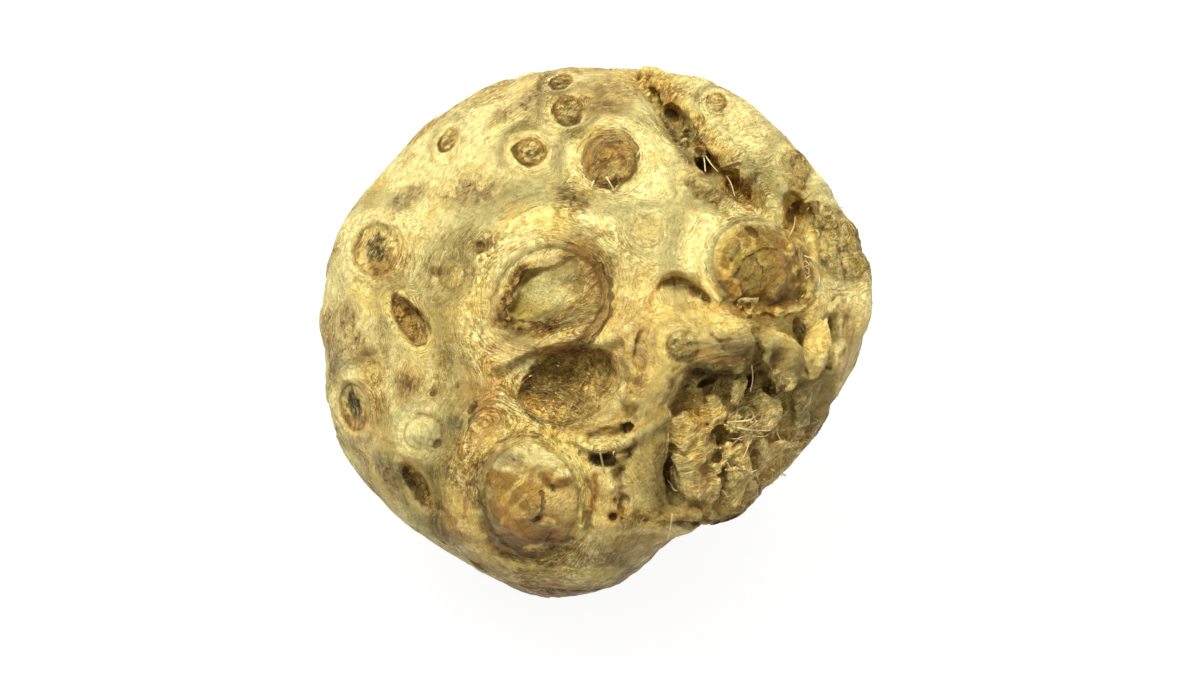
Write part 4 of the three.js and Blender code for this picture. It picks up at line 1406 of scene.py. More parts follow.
# Patches of colour: colour, place on the face, half length, half width, turn, strength.
PATCHES = [
    ("greige", (-25, 10), 18, 20, 0, 0.15),
    ("beige", (-36, -8), 17, 16, 0, 0.50),
    ("greige", (-24, 35), 16, 6, 8, 0.35),
    ("beige", (58, 2), 10, 14, 0, 0.40),
    ("greige", (-47, -30), 9, 18, 30, 0.35),
    ("olive", (-20, -53), 30, 7, -20, 0.40),
    ("olive", (5, -52), 16, 10, 10, 0.45),
    ("orange", (-22, -12), 7, 9, 0, 0.45),
    ("orange", (-29, -37), 4, 12, 25, 0.35),
    ("orange", (8, 15), 5, 5, -20, 0.30),
    ("orange", (-26, -27), 5, 7, 0, 0.25),
    ("rust", (-33.5, -40.5), 2.6, 5, 30, 0.60),
    ("rust", (-0.5, -35), 2.0, 4, 0, 0.85),
    ("straw", (11, -34), 4.5, 9, 0, 0.65),
    # straw along the top of the arm: painted highlight
    ("straw", (24, 3), 8, 4.5, 0, 0.55),
    ("straw", (44, -1), 3.5, 6, 10, 0.55),
    ("ash", (19.0, 44.0), 2.6, 6, 38, 0.75),
    ("soot", (22.4, 41.5), 1.0, 2.6, 30, 0.40),
    ("soot", (-30, -19), 2, 1.5, 0, 0.70),
    ("soot", (-42.6, -36), 1.6, 4.2, 32, 0.60),
    ("soot", (-13, -56), 6, 1.5, 8, 0.55),
    ("greige", (35, 0.5), 5.5, 4.5, 0, 0.60),
    # ash under the arm: painted shade
    ("ash", (28, -9.5), 5, 2, 20, 0.60),
    ("lichen", (54, 20), 6, 9, 0, 0.50),
    ("cream", (52, 6), 6, 3, 30, 0.50),
    ("ash", (22.8, -34.4), 2.6, 3.4, 0, 0.60),
    ("greige", (41, -18), 4, 5, 0, 0.60),
    ("olive", (47.5, -20), 3.5, 5, 0, 0.60),
    ("olive", (32, -36), 5, 5, 0, 0.45),
    ("greige", (7, -1), 5, 9, 0, 0.60),
    ("mauve", (7, -2), 5, 9, 0, 0.45),
    ("mocha", (8, -9), 5, 8, 0, 0.45),
    ("umber", (1, -19.5), 10, 3, 10, 0.50),
    # straw over the knuckle where the brown boss's shadow falls: painted light
    ("straw", (42, 1), 6, 5, 0, 0.70),
    ("straw", (38, -16), 6, 5, 0, 0.60),
    ("umber", (-18, -48.5), 7, 3.5, -10, 0.60),
    ("straw", (-33, -33), 3, 9, 12, 0.60),
    ("straw", (-44, -32), 6, 8, 30, 0.45),
    ("mocha", (-8, -0.5), 13, 4, 8, 0.50),
    # mocha on the lower half of the arm: painted shade
    ("mocha", (26, -3.5), 8, 4, 0, 0.35),
    ("mocha", (-28, -48), 9, 4, -32, 0.55),
    ("mocha", (-10, -57), 18, 5, 0, 0.80),
    ("umber", (-4, -58.5), 9, 3.5, 4, 0.65),
    ("mocha", (17, -47), 8, 4, 14, 0.60),
    ("straw", (-31, -30), 4, 9, 10, 0.45),
    ("cream", (-37, 13), 12, 7, 20, 0.70),
    ("cream", (5, 13), 6, 5, 0, 0.45),
    ("cream", (-7, 45.4), 9, 3, 4, 0.70),
    ("cream", (-6, 36), 5, 6, 0, 0.60),
    ("cream", (14, 25), 22, 9, -12, 0.80),
    ("cream", (33, 45), 14, 7, -45, 0.85),
    ("cream", (-26, 41), 22, 3.5, 36, 0.80),
    ("cream", (-42, 22), 3.0, 15, -28, 0.70),
    ("cream", (-54, 30), 3.0, 15, -30, 0.60),
    ("cream", (-38, -17), 8, 3.5, 20, 0.60),
    ("cream", (-10, -27.5), 10, 3, 8, 0.90),
    ("cream", (-2, -38), 1.8, 8, 0, 0.70),
    ("cream", (9, 47), 5, 9, 40, 0.70),
]


# Strokes of colour: colour, path on the face, half width, strength.
STROKES = [
    # the grey stain on the left of the cleft, and its brown edges
    ("ash", [(16.0, 49), (19, 45), (21.5, 40.6)], 2.0, 0.80),
    ("soot", [(15.8, 48.4), (17.4, 45.6), (19.4, 43.2)], 0.5, 0.80),
    ("lichen", [(18.6, 46.6), (21, 43), (22.6, 39.6)], 0.7, 0.70),
    ("cream", [(11, 52), (13.6, 47), (16.6, 41), (20, 37)], 1.8, 0.70),
    ("orange", [(10, 60), (14, 56), (18.5, 52)], 1.2, 0.50),
    ("cream", [(21, 54), (27, 48.6), (32, 43), (37, 36)], 3.2, 0.85),
    ("orange", [(31, 36), (34, 32), (35, 28)], 1.3, 0.60),
    ("greige", [(20, 36), (24, 33.6), (27.4, 31)], 2.4, 0.70),
    ("cream", [(19.6, 36.8), (23.4, 35.0), (26.4, 33.4)], 0.8, 0.70),
    ("straw", [(33.6, 31.4), (35.4, 29.6)], 1.2, 0.80),
    ("cream", [(30, 29.6), (35, 27), (40, 25.4)], 1.6, 0.70),
    ("cream", [(36, 43), (40, 40), (43, 35), (42, 30)], 2.6, 0.75),
    ("orange", [(43.6, 30), (44.6, 26), (44, 22)], 1.2, 0.70),
    ("straw", [(47.4, 30), (47.6, 26), (46.4, 22)], 1.0, 0.80),
    ("umber", [(45.6, 31), (46, 27.6)], 0.6, 0.70),
    # the rim round the trunk's top with painted shade under its overhang, and the smooth pale slope above
    # the arm
    ("umber", [(17, 10.6), (21, 10.6), (24.6, 8)], 0.9, 0.60),
    ("orange", [(12, 6), (13.6, 10.6), (17.6, 13), (22, 12.4)], 0.7, 0.50),
    # the brown boss: a pit, cracks, an olive side, a painted highlight on its pale upper left side and
    # painted shade in the groove below it
    ("olive", [(32.0, 18), (33.6, 14.6), (36, 11.4)], 2.2, 0.65),
    ("mocha", [(38, 21.6), (42, 18.4), (43, 13)], 2.4, 0.60),
    ("umber", [(33.4, 22.6), (35.6, 24), (37.6, 22.4)], 0.9, 0.70),
    ("dark", [(34.6, 24.2), (36.2, 22.6)], 0.8, 0.90),
    ("dark", [(31.8, 13), (34.0, 17.2), (38.2, 19.4), (41.4, 19.2)], 0.35, 0.70),
    ("dark", [(36.0, 18.2), (38.2, 14.4), (37.6, 10.4)], 0.35, 0.60),
    ("straw", [(27.6, 16), (28.2, 20), (31, 23.6)], 1.0, 0.60),
    ("umber", [(29, 10.4), (33, 7.4), (39, 7.2)], 0.9, 0.60),
    ("cream", [(3, 20), (12, 18), (22, 16), (25, 22)], 3.0, 0.70),
    # trunk, arm and knuckle
    # straw along the tops of the trunk and the arm: painted highlights
    ("straw", [(15, 3), (14.6, -6), (12.4, -15)], 1.6, 0.55),
    ("straw", [(21, 2.6), (28, 2.8), (34, 1.6), (38, -1)], 1.4, 0.70),
    # tan and mocha along the arm's underside and lower right end: painted shade
    ("tan", [(22, -5.6), (30, -6.4), (36, -5)], 1.8, 0.70),
    ("mocha", [(30, -2.4), (33.4, -4.4), (35, -6.4)], 1.8, 0.65),
    ("mauve", [(9, -2), (10.6, -7), (9.6, -13)], 1.3, 0.45),
    ("umber", [(6, -6), (7.4, -11), (6.6, -16)], 1.0, 0.50),
    # ash under the arm: painted shade
    ("ash", [(20, -8.6), (26, -9), (31, -8.6)], 1.3, 0.60),
    ("straw", [(38.4, -10), (38.2, -4), (41.6, -0.6), (45.4, -3), (45.6, -8)], 1.2, 0.80),
    # umber in the crease left of the knuckle: painted shade
    ("umber", [(37.2, 1), (37, -4), (38, -9)], 0.5, 0.50),
    # cream on the knuckle and on the slope above it, where the brown boss's shadow falls: painted light
    ("cream", [(39.4, -8.6), (39.4, -3), (42, -0.4)], 0.7, 0.70),
    ("cream", [(41, 2.8), (45, 2.6), (48, 5)], 1.2, 0.60),
    ("straw", [(49.8, 2), (51.2, -3), (50, -9)], 1.4, 0.70),
    ("mocha", [(57.4, 5), (58.2, -2), (55.6, -9)], 1.0, 0.55),
    ("cream", [(56, 4), (56.4, -2), (54.6, -7)], 0.8, 0.60),
    # dark under the knuckle: painted shadow
    ("dark", [(38.4, -12.6), (41, -13.4), (43, -12.6)], 0.8, 0.90),
    ("umber", [(26.4, -0.2), (28.4, -2.0), (30.8, -1.4)], 0.5, 0.80),
    ("umber", [(28.4, -2.0), (29.4, -4.0)], 0.4, 0.80),
    ("orange", [(24, -4.6), (27.6, -6), (33, -5.6)], 0.8, 0.50),
    ("mauve", [(31, -3.4), (34.4, -2.6)], 1.4, 0.50),
    ("rust", [(19.6, -7.4), (17.4, -8.6)], 0.4, 0.60),
    ("mocha", [(16.6, -10.4), (17.4, -12)], 0.8, 0.60),
    # the crossing root and what lies behind it, with a painted highlight along its top and painted shade in
    # the grooves above and below it
    ("straw", [(-4, -25.3), (0, -26), (5, -25), (10, -22.5), (15, -19)], 1.4, 0.80),
    ("orange", [(6, -23.8), (11, -21), (15, -17.6)], 0.6, 0.60),
    ("dark", [(-4, -27.6), (1, -28.2), (6, -27.4), (9, -25.8)], 0.7, 0.80),
    ("umber", [(-2, -23.4), (4, -23), (9, -19.6)], 0.8, 0.60),
    ("straw", [(5.4, -27), (5.8, -29), (7, -31)], 1.2, 0.60),
    ("cream", [(-4, -25.8), (1, -26.4), (7, -24.8), (13, -21)], 0.7, 0.70),
    # the pillar, with a painted highlight down its middle and painted shade along both sides
    ("cream", [(11.4, -26), (9.8, -32), (10.6, -38)], 2.0, 0.60),
    ("orange", [(13.4, -24), (13, -27)], 1.2, 0.50),
    ("rust", [(8.6, -24.4), (9.2, -25.4)], 0.5, 0.80),
    ("straw", [(13, -23), (11, -28), (10.6, -34), (12, -40)], 2.2, 0.70),
    ("tan", [(14.6, -26), (14.4, -33), (14.6, -39)], 1.2, 0.50),
    ("dark", [(16.8, -28), (16, -32), (16.6, -35)], 0.7, 0.80),
    ("umber", [(5.2, -31), (5.4, -37), (5.8, -43)], 0.8, 0.70),
    # the nodules and knobs of the tangle
    ("cream", [(31.8, -9.6), (30.8, -16)], 0.8, 0.80),
    ("straw", [(27, -15.4), (27.8, -18.6)], 1.6, 0.80),
    ("fibre_pale", [(36, -14), (41, -16.6), (43, -19.4)], 1.8, 0.70),
    ("cream", [(31.6, -21.6), (33.6, -18.4), (37, -15.6)], 1.0, 0.70),
    ("cream", [(32, -22.4), (36, -21.6), (40, -20.6)], 0.9, 0.60),
    # dark in the hollow between the knobs, left of the fan: painted shade
    ("dark", [(28.6, -21), (30.2, -24), (31.6, -26)], 0.7, 0.70),
    ("orange", [(22, -19.4), (25, -20.2), (26, -23)], 1.2, 0.60),
    ("straw", [(18.6, -25.6), (21, -22), (23, -25), (21.6, -30)], 1.6, 0.70),
    ("tan", [(24, -29), (24.6, -33), (23, -37)], 1.6, 0.60),
    ("ash", [(26.6, -22), (28.6, -26)], 1.2, 0.70),
    ("ash", [(32.4, -31.4), (33, -34)], 1.4, 0.60),
    ("straw", [(30, -27.4), (34.4, -29), (36, -33), (33.4, -38.6)], 1.1, 0.70),
    ("orange", [(38, -24), (42, -25.6), (45, -25)], 1.2, 0.50),
    ("ash", [(46, -17), (48.6, -20), (48, -24)], 1.8, 0.60),
    ("orange", [(49, -22.6), (46.6, -25)], 1.0, 0.60),
    ("mocha", [(28, -42.4), (33, -42), (36.6, -39)], 1.6, 0.60),
    # the peeling boss: its plates, their shadows and flakes
    ("mauve", [(-21.4, -28.4), (-18.6, -29.6)], 2.2, 0.70),
    ("dark", [(-19.4, -28.9), (-19.0, -29.3)], 0.35, 0.80),
    ("straw", [(-22.6, -40), (-20, -36.6), (-16.4, -33)], 0.7, 0.60),
    ("straw", [(-22, -43.6), (-19, -40), (-16, -37)], 0.5, 0.50),
    ("orange", [(-22, -38), (-20, -43.6), (-15.6, -47)], 2.2, 0.50),
    ("beige", [(-10.6, -38), (-7, -41), (-5.4, -37)], 2.4, 0.60),
    ("dark", [(-12.8, -36.4), (-12.2, -39), (-13, -41.8), (-14.6, -43)], 0.55, 0.90),
    ("umber", [(-12.4, -32.6), (-10.4, -35.8), (-6.6, -33.6)], 1.1, 0.80),
    ("dark", [(-10.4, -35), (-9.4, -37)], 0.5, 0.80),
    ("cream", [(-9.4, -32.2), (-6, -31.8)], 1.0, 0.90),
    ("straw", [(-12.2, -35.4), (-10.8, -37)], 0.6, 0.80),
    ("umber", [(-21.6, -47), (-18, -48.6), (-13, -47.6), (-11, -46.2)], 1.9, 0.75),
    ("straw", [(-16.6, -49.4), (-13, -48.8)], 0.5, 0.80),
    ("rust", [(-10.8, -46.4), (-9, -46)], 0.9, 0.80),
    ("dark", [(-11.6, -47.6), (-10.6, -46)], 0.4, 0.90),
    ("straw", [(-3.0, -27), (-2.2, -33), (-2.4, -40)], 0.8, 0.80),
    ("rust", [(-0.8, -33), (-0.4, -37), (-1.8, -42.6)], 0.9, 0.80),
    # cracks and streaks round it
    ("dark", [(-16.2, -18.4), (-14, -20.2), (-11, -22.6)], 0.4, 0.90),
    ("dark", [(-29.2, -18.4), (-29.4, -22)], 0.35, 0.80),
    ("orange", [(-26.6, -14), (-24.4, -18), (-24, -23)], 2.4, 0.45),
    ("rust", [(-36, -39.6), (-33.4, -42.4), (-31.4, -46.8)], 0.9, 0.70),
    ("rust", [(-28.6, -30), (-30, -36), (-30.4, -42)], 0.5, 0.50),
    ("straw", [(-31.6, -30), (-33, -36), (-31.8, -42)], 1.0, 0.50),
    ("soot", [(-44.8, -31.6), (-42.2, -35.6), (-40.4, -38.8)], 1.3, 0.80),
    ("straw", [(-42.2, -31.2), (-39.8, -34.6)], 0.9, 0.80),
    ("umber", [(-18, -55.4), (-12, -54.4), (-7.6, -52.8)], 0.7, 0.60),
    ("umber", [(-27, -53), (-21, -56)], 0.6, 0.50),
    ("straw", [(-24, -51.6), (-16, -53.6), (-8, -50.4)], 0.7, 0.60),
    ("olive", [(2, -50), (8, -48.6), (13, -46.6)], 1.6, 0.50),
    ("umber", [(3, -52), (8, -54), (6, -57)], 1.6, 0.60),
    ("mocha", [(-4, -51), (4, -52.4), (12, -50)], 1.8, 0.55),
    ("umber", [(-22, -50.6), (-14, -51.4), (-7, -49.4)], 0.8, 0.60),
    ("cream", [(-2, -47), (5, -46.4), (11, -45)], 0.9, 0.50),
    # the pale lower edge of the scoop, painted shade under its upper rim, and the rim of the peeling boss
    ("straw", [(-17, -20), (-9, -23.6), (-3, -24)], 1.2, 0.60),
    ("umber", [(-20, -8), (-16, -5.4), (-9, -3.8), (-2, -3.2)], 0.9, 0.60),
    ("straw", [(-26, -27), (-16, -24.4), (-6, -27)], 1.0, 0.60),
    ("straw", [(-3.4, -30), (-3, -38), (-5, -46)], 1.2, 0.70),
]


class Paint:
    """The skin's colours, laid on in layers, and how dark, how crumbly and how strong in grain it is."""

    def __init__(self, count):
        self.colour = np.tile(COLOURS["cream"], (count, 1))
        # dark holds cracks and outlines, and also the painted shade of hollows, creases, gaps and holes
        self.dark = np.zeros(count)
        self.crumble = np.zeros(count)
        self.grain = np.ones(count)

    def lay(self, where, colour, share):
        share = np.clip(share, 0, 1)
        self.dark[where] *= 1 - share
        if colour == "dark":
            self.dark[where] += share
        else:
            self.colour[where] += (COLOURS[colour] - self.colour[where]) * share[:, None]

    def cover(self, colour, share):
        """Lays a colour over the whole skin."""
        self.lay(slice(None), colour, share)


def wear(points, marks):
    """1 in and close round the smaller marks, 0 on the ridges between them."""
    worn = np.zeros(len(points))
    for mark in marks:
        if KINDS[mark.kind][2] and mark.radius < 8:
            near, _, _, r = mark.polar(points, 3.2)
            worn[near] = np.maximum(worn[near], np.exp(-(np.maximum(r - 0.9, 0) / 0.75) ** 2))
    return worn


def paint_ground(paint, skin):
    """Pale swollen ridges run between worn, browner places where the marks are."""
    p, flow = skin.points, skin.flow
    worn = wear(p, skin.marks)
    age = 0.8 * noise(p, 15.0, 62) + 0.3 * ease(0, -30, p[:, 1]) + 0.10 * worn - 0.30
    band = 0.5 * along_grain(p, flow, 7.0, 3.0, 63) + 0.5 * along_grain(p, flow, 4.0, 1.4, 64)
    paint.cover("straw", 0.8 * ease(-0.3, 0.4, noise(p, 8.0, 65)))
    paint.cover("beige", 0.55 * ease(-0.25, 0.45, 0.45 * band + age))
    paint.cover("greige", 0.40 * ease(0.15, 0.8, 0.55 * band + age))
    smooth_ridges = np.zeros(len(p))
    for name, at, half_length, half_width, turn, strength in PATCHES:
        away = p[:, :2] - at
        angle = math.radians(turn)
        x = away @ (math.cos(angle), math.sin(angle)) / half_length
        y = away @ (-math.sin(angle), math.cos(angle)) / half_width
        shape = ease(1.15, 0.45, np.hypot(x, y) + 0.35 * noise(p, 5.0, 61) + 0.15 * band) * (p[:, 2] > 0)
        paint.cover(name, strength * shape)
        if name == "cream":
            smooth_ridges = np.maximum(smooth_ridges, strength * shape)
    patchy = ease(-0.4, 0.7, noise(p, 6.0, 67) + age) * (1 - 0.8 * smooth_ridges)
    paint.grain = 0.25 + 0.75 * patchy
    paint.cover("tan", 0.55 * patchy * ease(0.1, 0.5, along_grain(p, flow, 3.2, 1.1, 66)))
    paint.cover("umber", 0.4 * patchy * ease(0.3, 0.6, along_grain(p, flow, 2.4, 0.8, 68)))
    paint.cover("cream", 0.55 * ease(0.1, 0.6, along_grain(p, flow, 4.0, 1.3, 69) - 0.3 * worn))
    for length, width, layer in ((9.0, 2.2, 96), (6.0, 1.3, 97)):
        growth_lines = ease(0.10, 0.0, np.abs(along_grain(p, flow, length, width, layer)))
        here_and_there = ease(-0.2, 0.5, noise(p, 5.0, layer + 2))
        paint.cover("rust", 0.38 * growth_lines * here_and_there * paint.grain)
    paint.cover("rust", 0.5 * ease(0.5, 0.75, rough(p, 1.8, 70)))
    paint.cover("dark", 0.5 * patchy * ease(0.5, 0.75, along_grain(p, flow, 1.8, 0.7, 73)))


def paint_root_end(paint, skin):
    p, flow, tangle = skin.points, skin.flow, skin.tangle
    end = root_end_share(p)
    paint.grain *= 1 - 0.5 * end
    paint.cover("fibre", 0.4 * end)
    # tan leans towards the undersides, which face down: there it is painted shade
    paint.cover("tan", 0.40 * end * ease(0.0, 0.7, noise(p, 5.0, 81) - 0.4 * skin.normals[:, 1]))
    paint.cover("greige", 0.35 * end * ease(0.1, 0.6, rough(p, 4.0, 82)))
    paint.cover("fibre", 0.85 * tangle)
    paint.cover("fibre_pale", 0.8 * tangle * ease(-0.2, 0.4, along_grain(p, flow, 3.0, 1.2, 74)))
    paint.cover("olive", 0.35 * tangle * ease(0.1, 0.6, noise(p, 6.0, 75)))
    paint.cover("tan", 0.5 * tangle * ease(0.1, 0.5, noise(p, 4.0, 76)))
    paint.cover("fibre_dark", 0.5 * tangle * ease(0.2, 0.5, rough(p, 2.4, 77)))


def paint_crown(paint, skin):
    """The cut leaf bases."""
    p = skin.points
    distance, _ = crown_coordinates(p)
    crown = ease(CROWN_RADIUS, CROWN_RADIUS - 4, distance + 2 * noise(p, 4.0, 78)) * (p @ CROWN > 0)
    paint.cover("tan", 0.8 * crown)
    paint.cover("lichen", 0.6 * crown * ease(0.0, 0.4, rough(p, 2.5, 79)))
    # umber in the crown's hollows: partly dirt, partly painted shade
    paint.cover("umber", 0.8 * crown * ease(0.0, 0.6, skin.hollow_small * 2))


def paint_marks(paint, skin):
    for mark in skin.marks:
        spot = Spot(mark, skin.points, paint=paint)
        if len(spot.near):
            KINDS[mark.kind][1](spot)


def paint_strokes(paint, skin):
    p = skin.points
    seen = as_seen(p)
    for name, path, half_width, strength in STROKES:
        near, share = along_path(p, seen, path, half_width)
        paint.lay(near, name, strength * share)


def paint_ragged_strips(paint, skin):
    p = skin.points
    ragged = ragged_share(p)
    paint.cover("orange", 0.3 * ragged)
    paint.cover("umber", 0.5 * ragged * ease(0.1, 0.35, rough(p, 1.8, 88)))
    paint.cover("straw", 0.85 * ragged * ease(-0.05, 0.2, rough(p, 1.4, 89)))
    paint.cover("dark", 0.4 * ragged * ease(0.3, 0.5, rough(p, 1.6, 90)))
    paint.crumble = np.maximum(paint.crumble, 0.25 * ragged)


def paint_hollows_shade_and_highlights(paint, skin):
    """Dirt and painted shade darken the hollows, painted shade the creases; raised parts get a painted
    highlight.
    """
    p, tangle = skin.points, skin.tangle
    creased = crease_depth(p, skin.creases)
    # tan, umber and dark in the hollows: partly dirt, partly painted shade
    paint.cover("tan", 0.3 * ease(0.2, 1.2, skin.hollow_middle + 0.3 * noise(p, 2.0, 80)))
    paint.cover("umber", (0.5 - 0.2 * tangle) * ease(0.06, 0.32, skin.hollow_small))
    paint.cover("dark", (0.8 - 0.2 * tangle) * ease(0.18, 0.50, skin.hollow_small))
    # fibre_pale on the tangle's raised parts: painted highlight
    paint.cover("fibre_pale", 0.85 * tangle * ease(0.04, 0.22, -skin.hollow_small))
    # dark in the creases: painted shade
    paint.cover("dark", 0.75 * ease(0.5, 2.0, creased))
    # cream on whatever stands out: painted highlight
    paint.cover("cream", 0.5 * ease(0.06, 0.30, -skin.hollow_small) * (1 - paint.crumble))
    paint.crumble = np.maximum(paint.crumble, 0.06 * tangle)
    paint.grain = np.maximum(paint.grain, 0.55 * tangle)


def paint_skin(skin):
    paint = Paint(len(skin.points))
    for step in (paint_ground, paint_root_end, paint_crown, paint_marks, paint_strokes,
                 paint_ragged_strips, paint_hollows_shade_and_highlights):
        step(paint, skin)
    return paint


# ---------------------------------------------------------------- materials

class Shader:
    """A short way to write a node tree."""

    def __init__(self, name):
        self.material = bpy.data.materials.new(name)
        self.material.use_nodes = True
        self.tree = self.material.node_tree
        self.principled = self.tree.nodes["Principled BSDF"]

    def put(self, socket, value):
        if isinstance(value, bpy.types.NodeSocket):
            self.tree.links.new(value, socket)
        else:
            socket.default_value = value

    def node(self, kind, inputs=None, **settings):
        made = self.tree.nodes.new(kind)
        for key, value in settings.items():
            setattr(made, key, value)
        for key, value in (inputs or {}).items():
            self.put(made.inputs[key], value)
        return made

    def attribute(self, name):
        return self.node("ShaderNodeAttribute", attribute_name=name).outputs

    def maths(self, operation, a, b=0.5):
        return self.node("ShaderNodeMath", {0: a, 1: b}, operation=operation).outputs[0]

    def mix(self, share, a, b, blend="MIX"):
        made = self.node("ShaderNodeMix", data_type="RGBA", blend_type=blend)
        for index, value in ((0, share), (6, a), (7, b)):
            self.put(made.inputs[index], value)
        return made.outputs[2]

    def noise(self, vector, size, detail=3.0, roughness=0.6, w=None, distortion=0.0):
        """Noise from about 0.25 to 0.75 with cells of that size, in metres."""
        dimensions = "3D" if w is None else "4D"
        made = self.node("ShaderNodeTexNoise", {"Vector": vector}, noise_dimensions=dimensions)
        if w is not None:
            self.put(made.inputs["W"], w)
        made.inputs["Scale"].default_value = 1 / size
        made.inputs["Detail"].default_value = detail
        made.inputs["Roughness"].default_value = roughness
        made.inputs["Distortion"].default_value = distortion
        return made.outputs[0]

    def steps(self, value, low, high, out_low=0.0, out_high=1.0):
        made = self.node("ShaderNodeMapRange", interpolation_type="SMOOTHSTEP")
        for index, v in enumerate((value, low, high, out_low, out_high)):
            self.put(made.inputs[index], v)
        return made.outputs[0]


# What streaks, threads, cracks and painted shade lean towards, as linear light.
BROWN = (0.22, 0.115, 0.014, 1)
PALE = (1.0, 0.92, 0.56, 1)
CRACK_AND_SHADE = (0.076, 0.036, 0.002, 1)
# What the skin's colour is multiplied by, at its darkest and at its lightest.
SHEEN = (0.76, 0.69, 0.53, 1), (1.12, 1.11, 1.07, 1)
DUST = (0.60, 0.52, 0.36, 1), (1.20, 1.19, 1.16, 1)
RUBBLE = (0.46, 0.38, 0.23, 1), (1.36, 1.31, 1.20, 1)
ROOTLET_DARK = (0.42, 0.29, 0.10, 1)
ROOTLET_PALE = (0.72, 0.57, 0.26, 1)
SKIN_SPECULAR = 0.22
BUMP_HEIGHT = 0.0010  # in metres


def skin_material():
    s = Shader("celeriac_skin")
    place = s.node("ShaderNodeTexCoord").outputs["Object"]
    paint = s.attribute("paint")
    colour, crumble = paint["Color"], paint["Alpha"]
    flow = s.attribute("flow")["Fac"]
    grain = s.attribute("grain")["Fac"]

    def streaks_along_flow(length, width):
        """Short streaks along the lines of equal flow. The noise divides flow by its size too."""
        return s.noise(place, length, 2, 0.6, w=s.maths("MULTIPLY", flow, length / width))

    fibre = streaks_along_flow(0.0048, 0.60)
    thread = streaks_along_flow(0.0021, 0.32)
    speck = s.noise(place, 0.0007, 2, 0.7)
    fleck = streaks_along_flow(0.0014, 0.24)
    crumb = s.noise(place, 0.0012, 4, 0.75, distortion=1.2)
    blotch = s.noise(place, 0.0055, 3, 0.65)

    brown = s.mix(0.72, colour, BROWN)
    worn = s.maths("MULTIPLY", grain, s.steps(blotch, 0.36, 0.60, 0.45, 1.0))
    streaks = (fibre, 0.56, 0.66, 0.35), (thread, 0.55, 0.60, 0.60), (speck, 0.56, 0.61, 0.85)
    for streak, low, high, strength in streaks:
        share = s.maths("MULTIPLY", s.steps(streak, low, high, 0.0, strength), worn)
        colour = s.mix(share, colour, brown)
    # Hair-thin wrinkles, where the noises cross their middle.
    wrinkles = []
    for streak, width, strength in ((fibre, 0.014, 0.40), (thread, 0.020, 0.35)):
        off_middle = s.maths("ABSOLUTE", s.maths("SUBTRACT", streak, 0.47))
        wrinkles.append(s.maths("MULTIPLY", s.steps(off_middle, 0.0, width, strength, 0.0), worn))
        colour = s.mix(wrinkles[-1], colour, brown)
    pale = s.mix(0.7, colour, PALE)
    threads = s.maths("MULTIPLY", s.steps(thread, 0.46, 0.38, 0.0, 0.55), grain)
    colour = s.mix(threads, colour, pale)
    paper = s.noise(place, 0.0016, 5, 0.75, distortion=0.6)
    sheen = s.mix(s.steps(paper, 0.41, 0.52), *SHEEN)
    colour = s.mix(s.steps(grain, 0.0, 1.0, 0.45, 1.0), colour, sheen, blend="MULTIPLY")
    dust = s.mix(s.steps(fleck, 0.43, 0.56), *DUST)
    colour = s.mix(s.steps(grain, 0.0, 1.0, 0.30, 1.0), colour, dust, blend="MULTIPLY")
    rubble = s.mix(s.steps(crumb, 0.38, 0.58), *RUBBLE)
    colour = s.mix(crumble, colour, rubble, blend="MULTIPLY")

    # Cracks and the painted shade of the dark attribute, with the fibres' ragged edges.
    ragged = s.attribute("dark")["Fac"]
    for edge, strength in ((thread, 0.9), (crumb, 0.7)):
        ragged = s.maths("ADD", ragged, s.maths("MULTIPLY", s.maths("SUBTRACT", edge, 0.5), strength))
    crack_and_shade = s.steps(ragged, 0.34, 0.74, 0.0, 0.9)
    colour = s.mix(crack_and_shade, colour, s.mix(0.8, colour, CRACK_AND_SHADE))

    height = s.maths("MULTIPLY", s.maths("ADD", thread, fibre), s.maths("ADD", grain, 0.3))
    height = s.maths("ADD", height, s.maths("MULTIPLY", paper, 1.6))
    height = s.maths("ADD", height, s.maths("MULTIPLY", fleck, 0.7))
    height = s.maths("ADD", height, s.maths("MULTIPLY", crumb, s.maths("MULTIPLY", crumble, 2.2)))
    height = s.maths("SUBTRACT", height, s.maths("ADD", crack_and_shade, s.maths("ADD", wrinkles[0], wrinkles[1])))
    bump = s.node("ShaderNodeBump", {"Strength": 1.0, "Distance": BUMP_HEIGHT, "Height": height})
    s.put(s.principled.inputs["Base Color"], colour)
    s.put(s.principled.inputs["Normal"], bump.outputs[0])
    s.put(s.principled.inputs["Roughness"], s.steps(crumble, 0.0, 1.0, 0.46, 0.85))
    s.principled.inputs["Specular IOR Level"].default_value = SKIN_SPECULAR
    return s.material


def rootlet_material():
    s = Shader("rootlet")
    place = s.node("ShaderNodeTexCoord").outputs["Object"]
    tint = s.steps(s.noise(place, 0.004), 0.35, 0.65)
    s.put(s.principled.inputs["Base Color"], s.mix(tint, ROOTLET_DARK, ROOTLET_PALE))
    s.principled.inputs["Roughness"].default_value = 0.7
    return s.material


# ---------------------------------------------------------------- pieces

PIECE_NAMES = ("skin_face", "skin_shoulder", "skin_flank", "skin_back", "skin_crown")


def add_attribute(mesh, name, values):
    kind, field = ("FLOAT", "value") if values.ndim == 1 else ("FLOAT_COLOR", "color")
    mesh.attributes.new(name, kind, "POINT").data.foreach_set(field, values.astype(np.float32).ravel())


def make_object(name, points, faces, material):
    mesh = mesh_from(name, to_row(points), faces)
    mesh.materials.append(material)
    mesh.polygons.foreach_set("use_smooth", np.ones(len(faces), bool))
    obj = bpy.data.objects.new(name, mesh)
    bpy.context.scene.collection.objects.link(obj)
    return obj


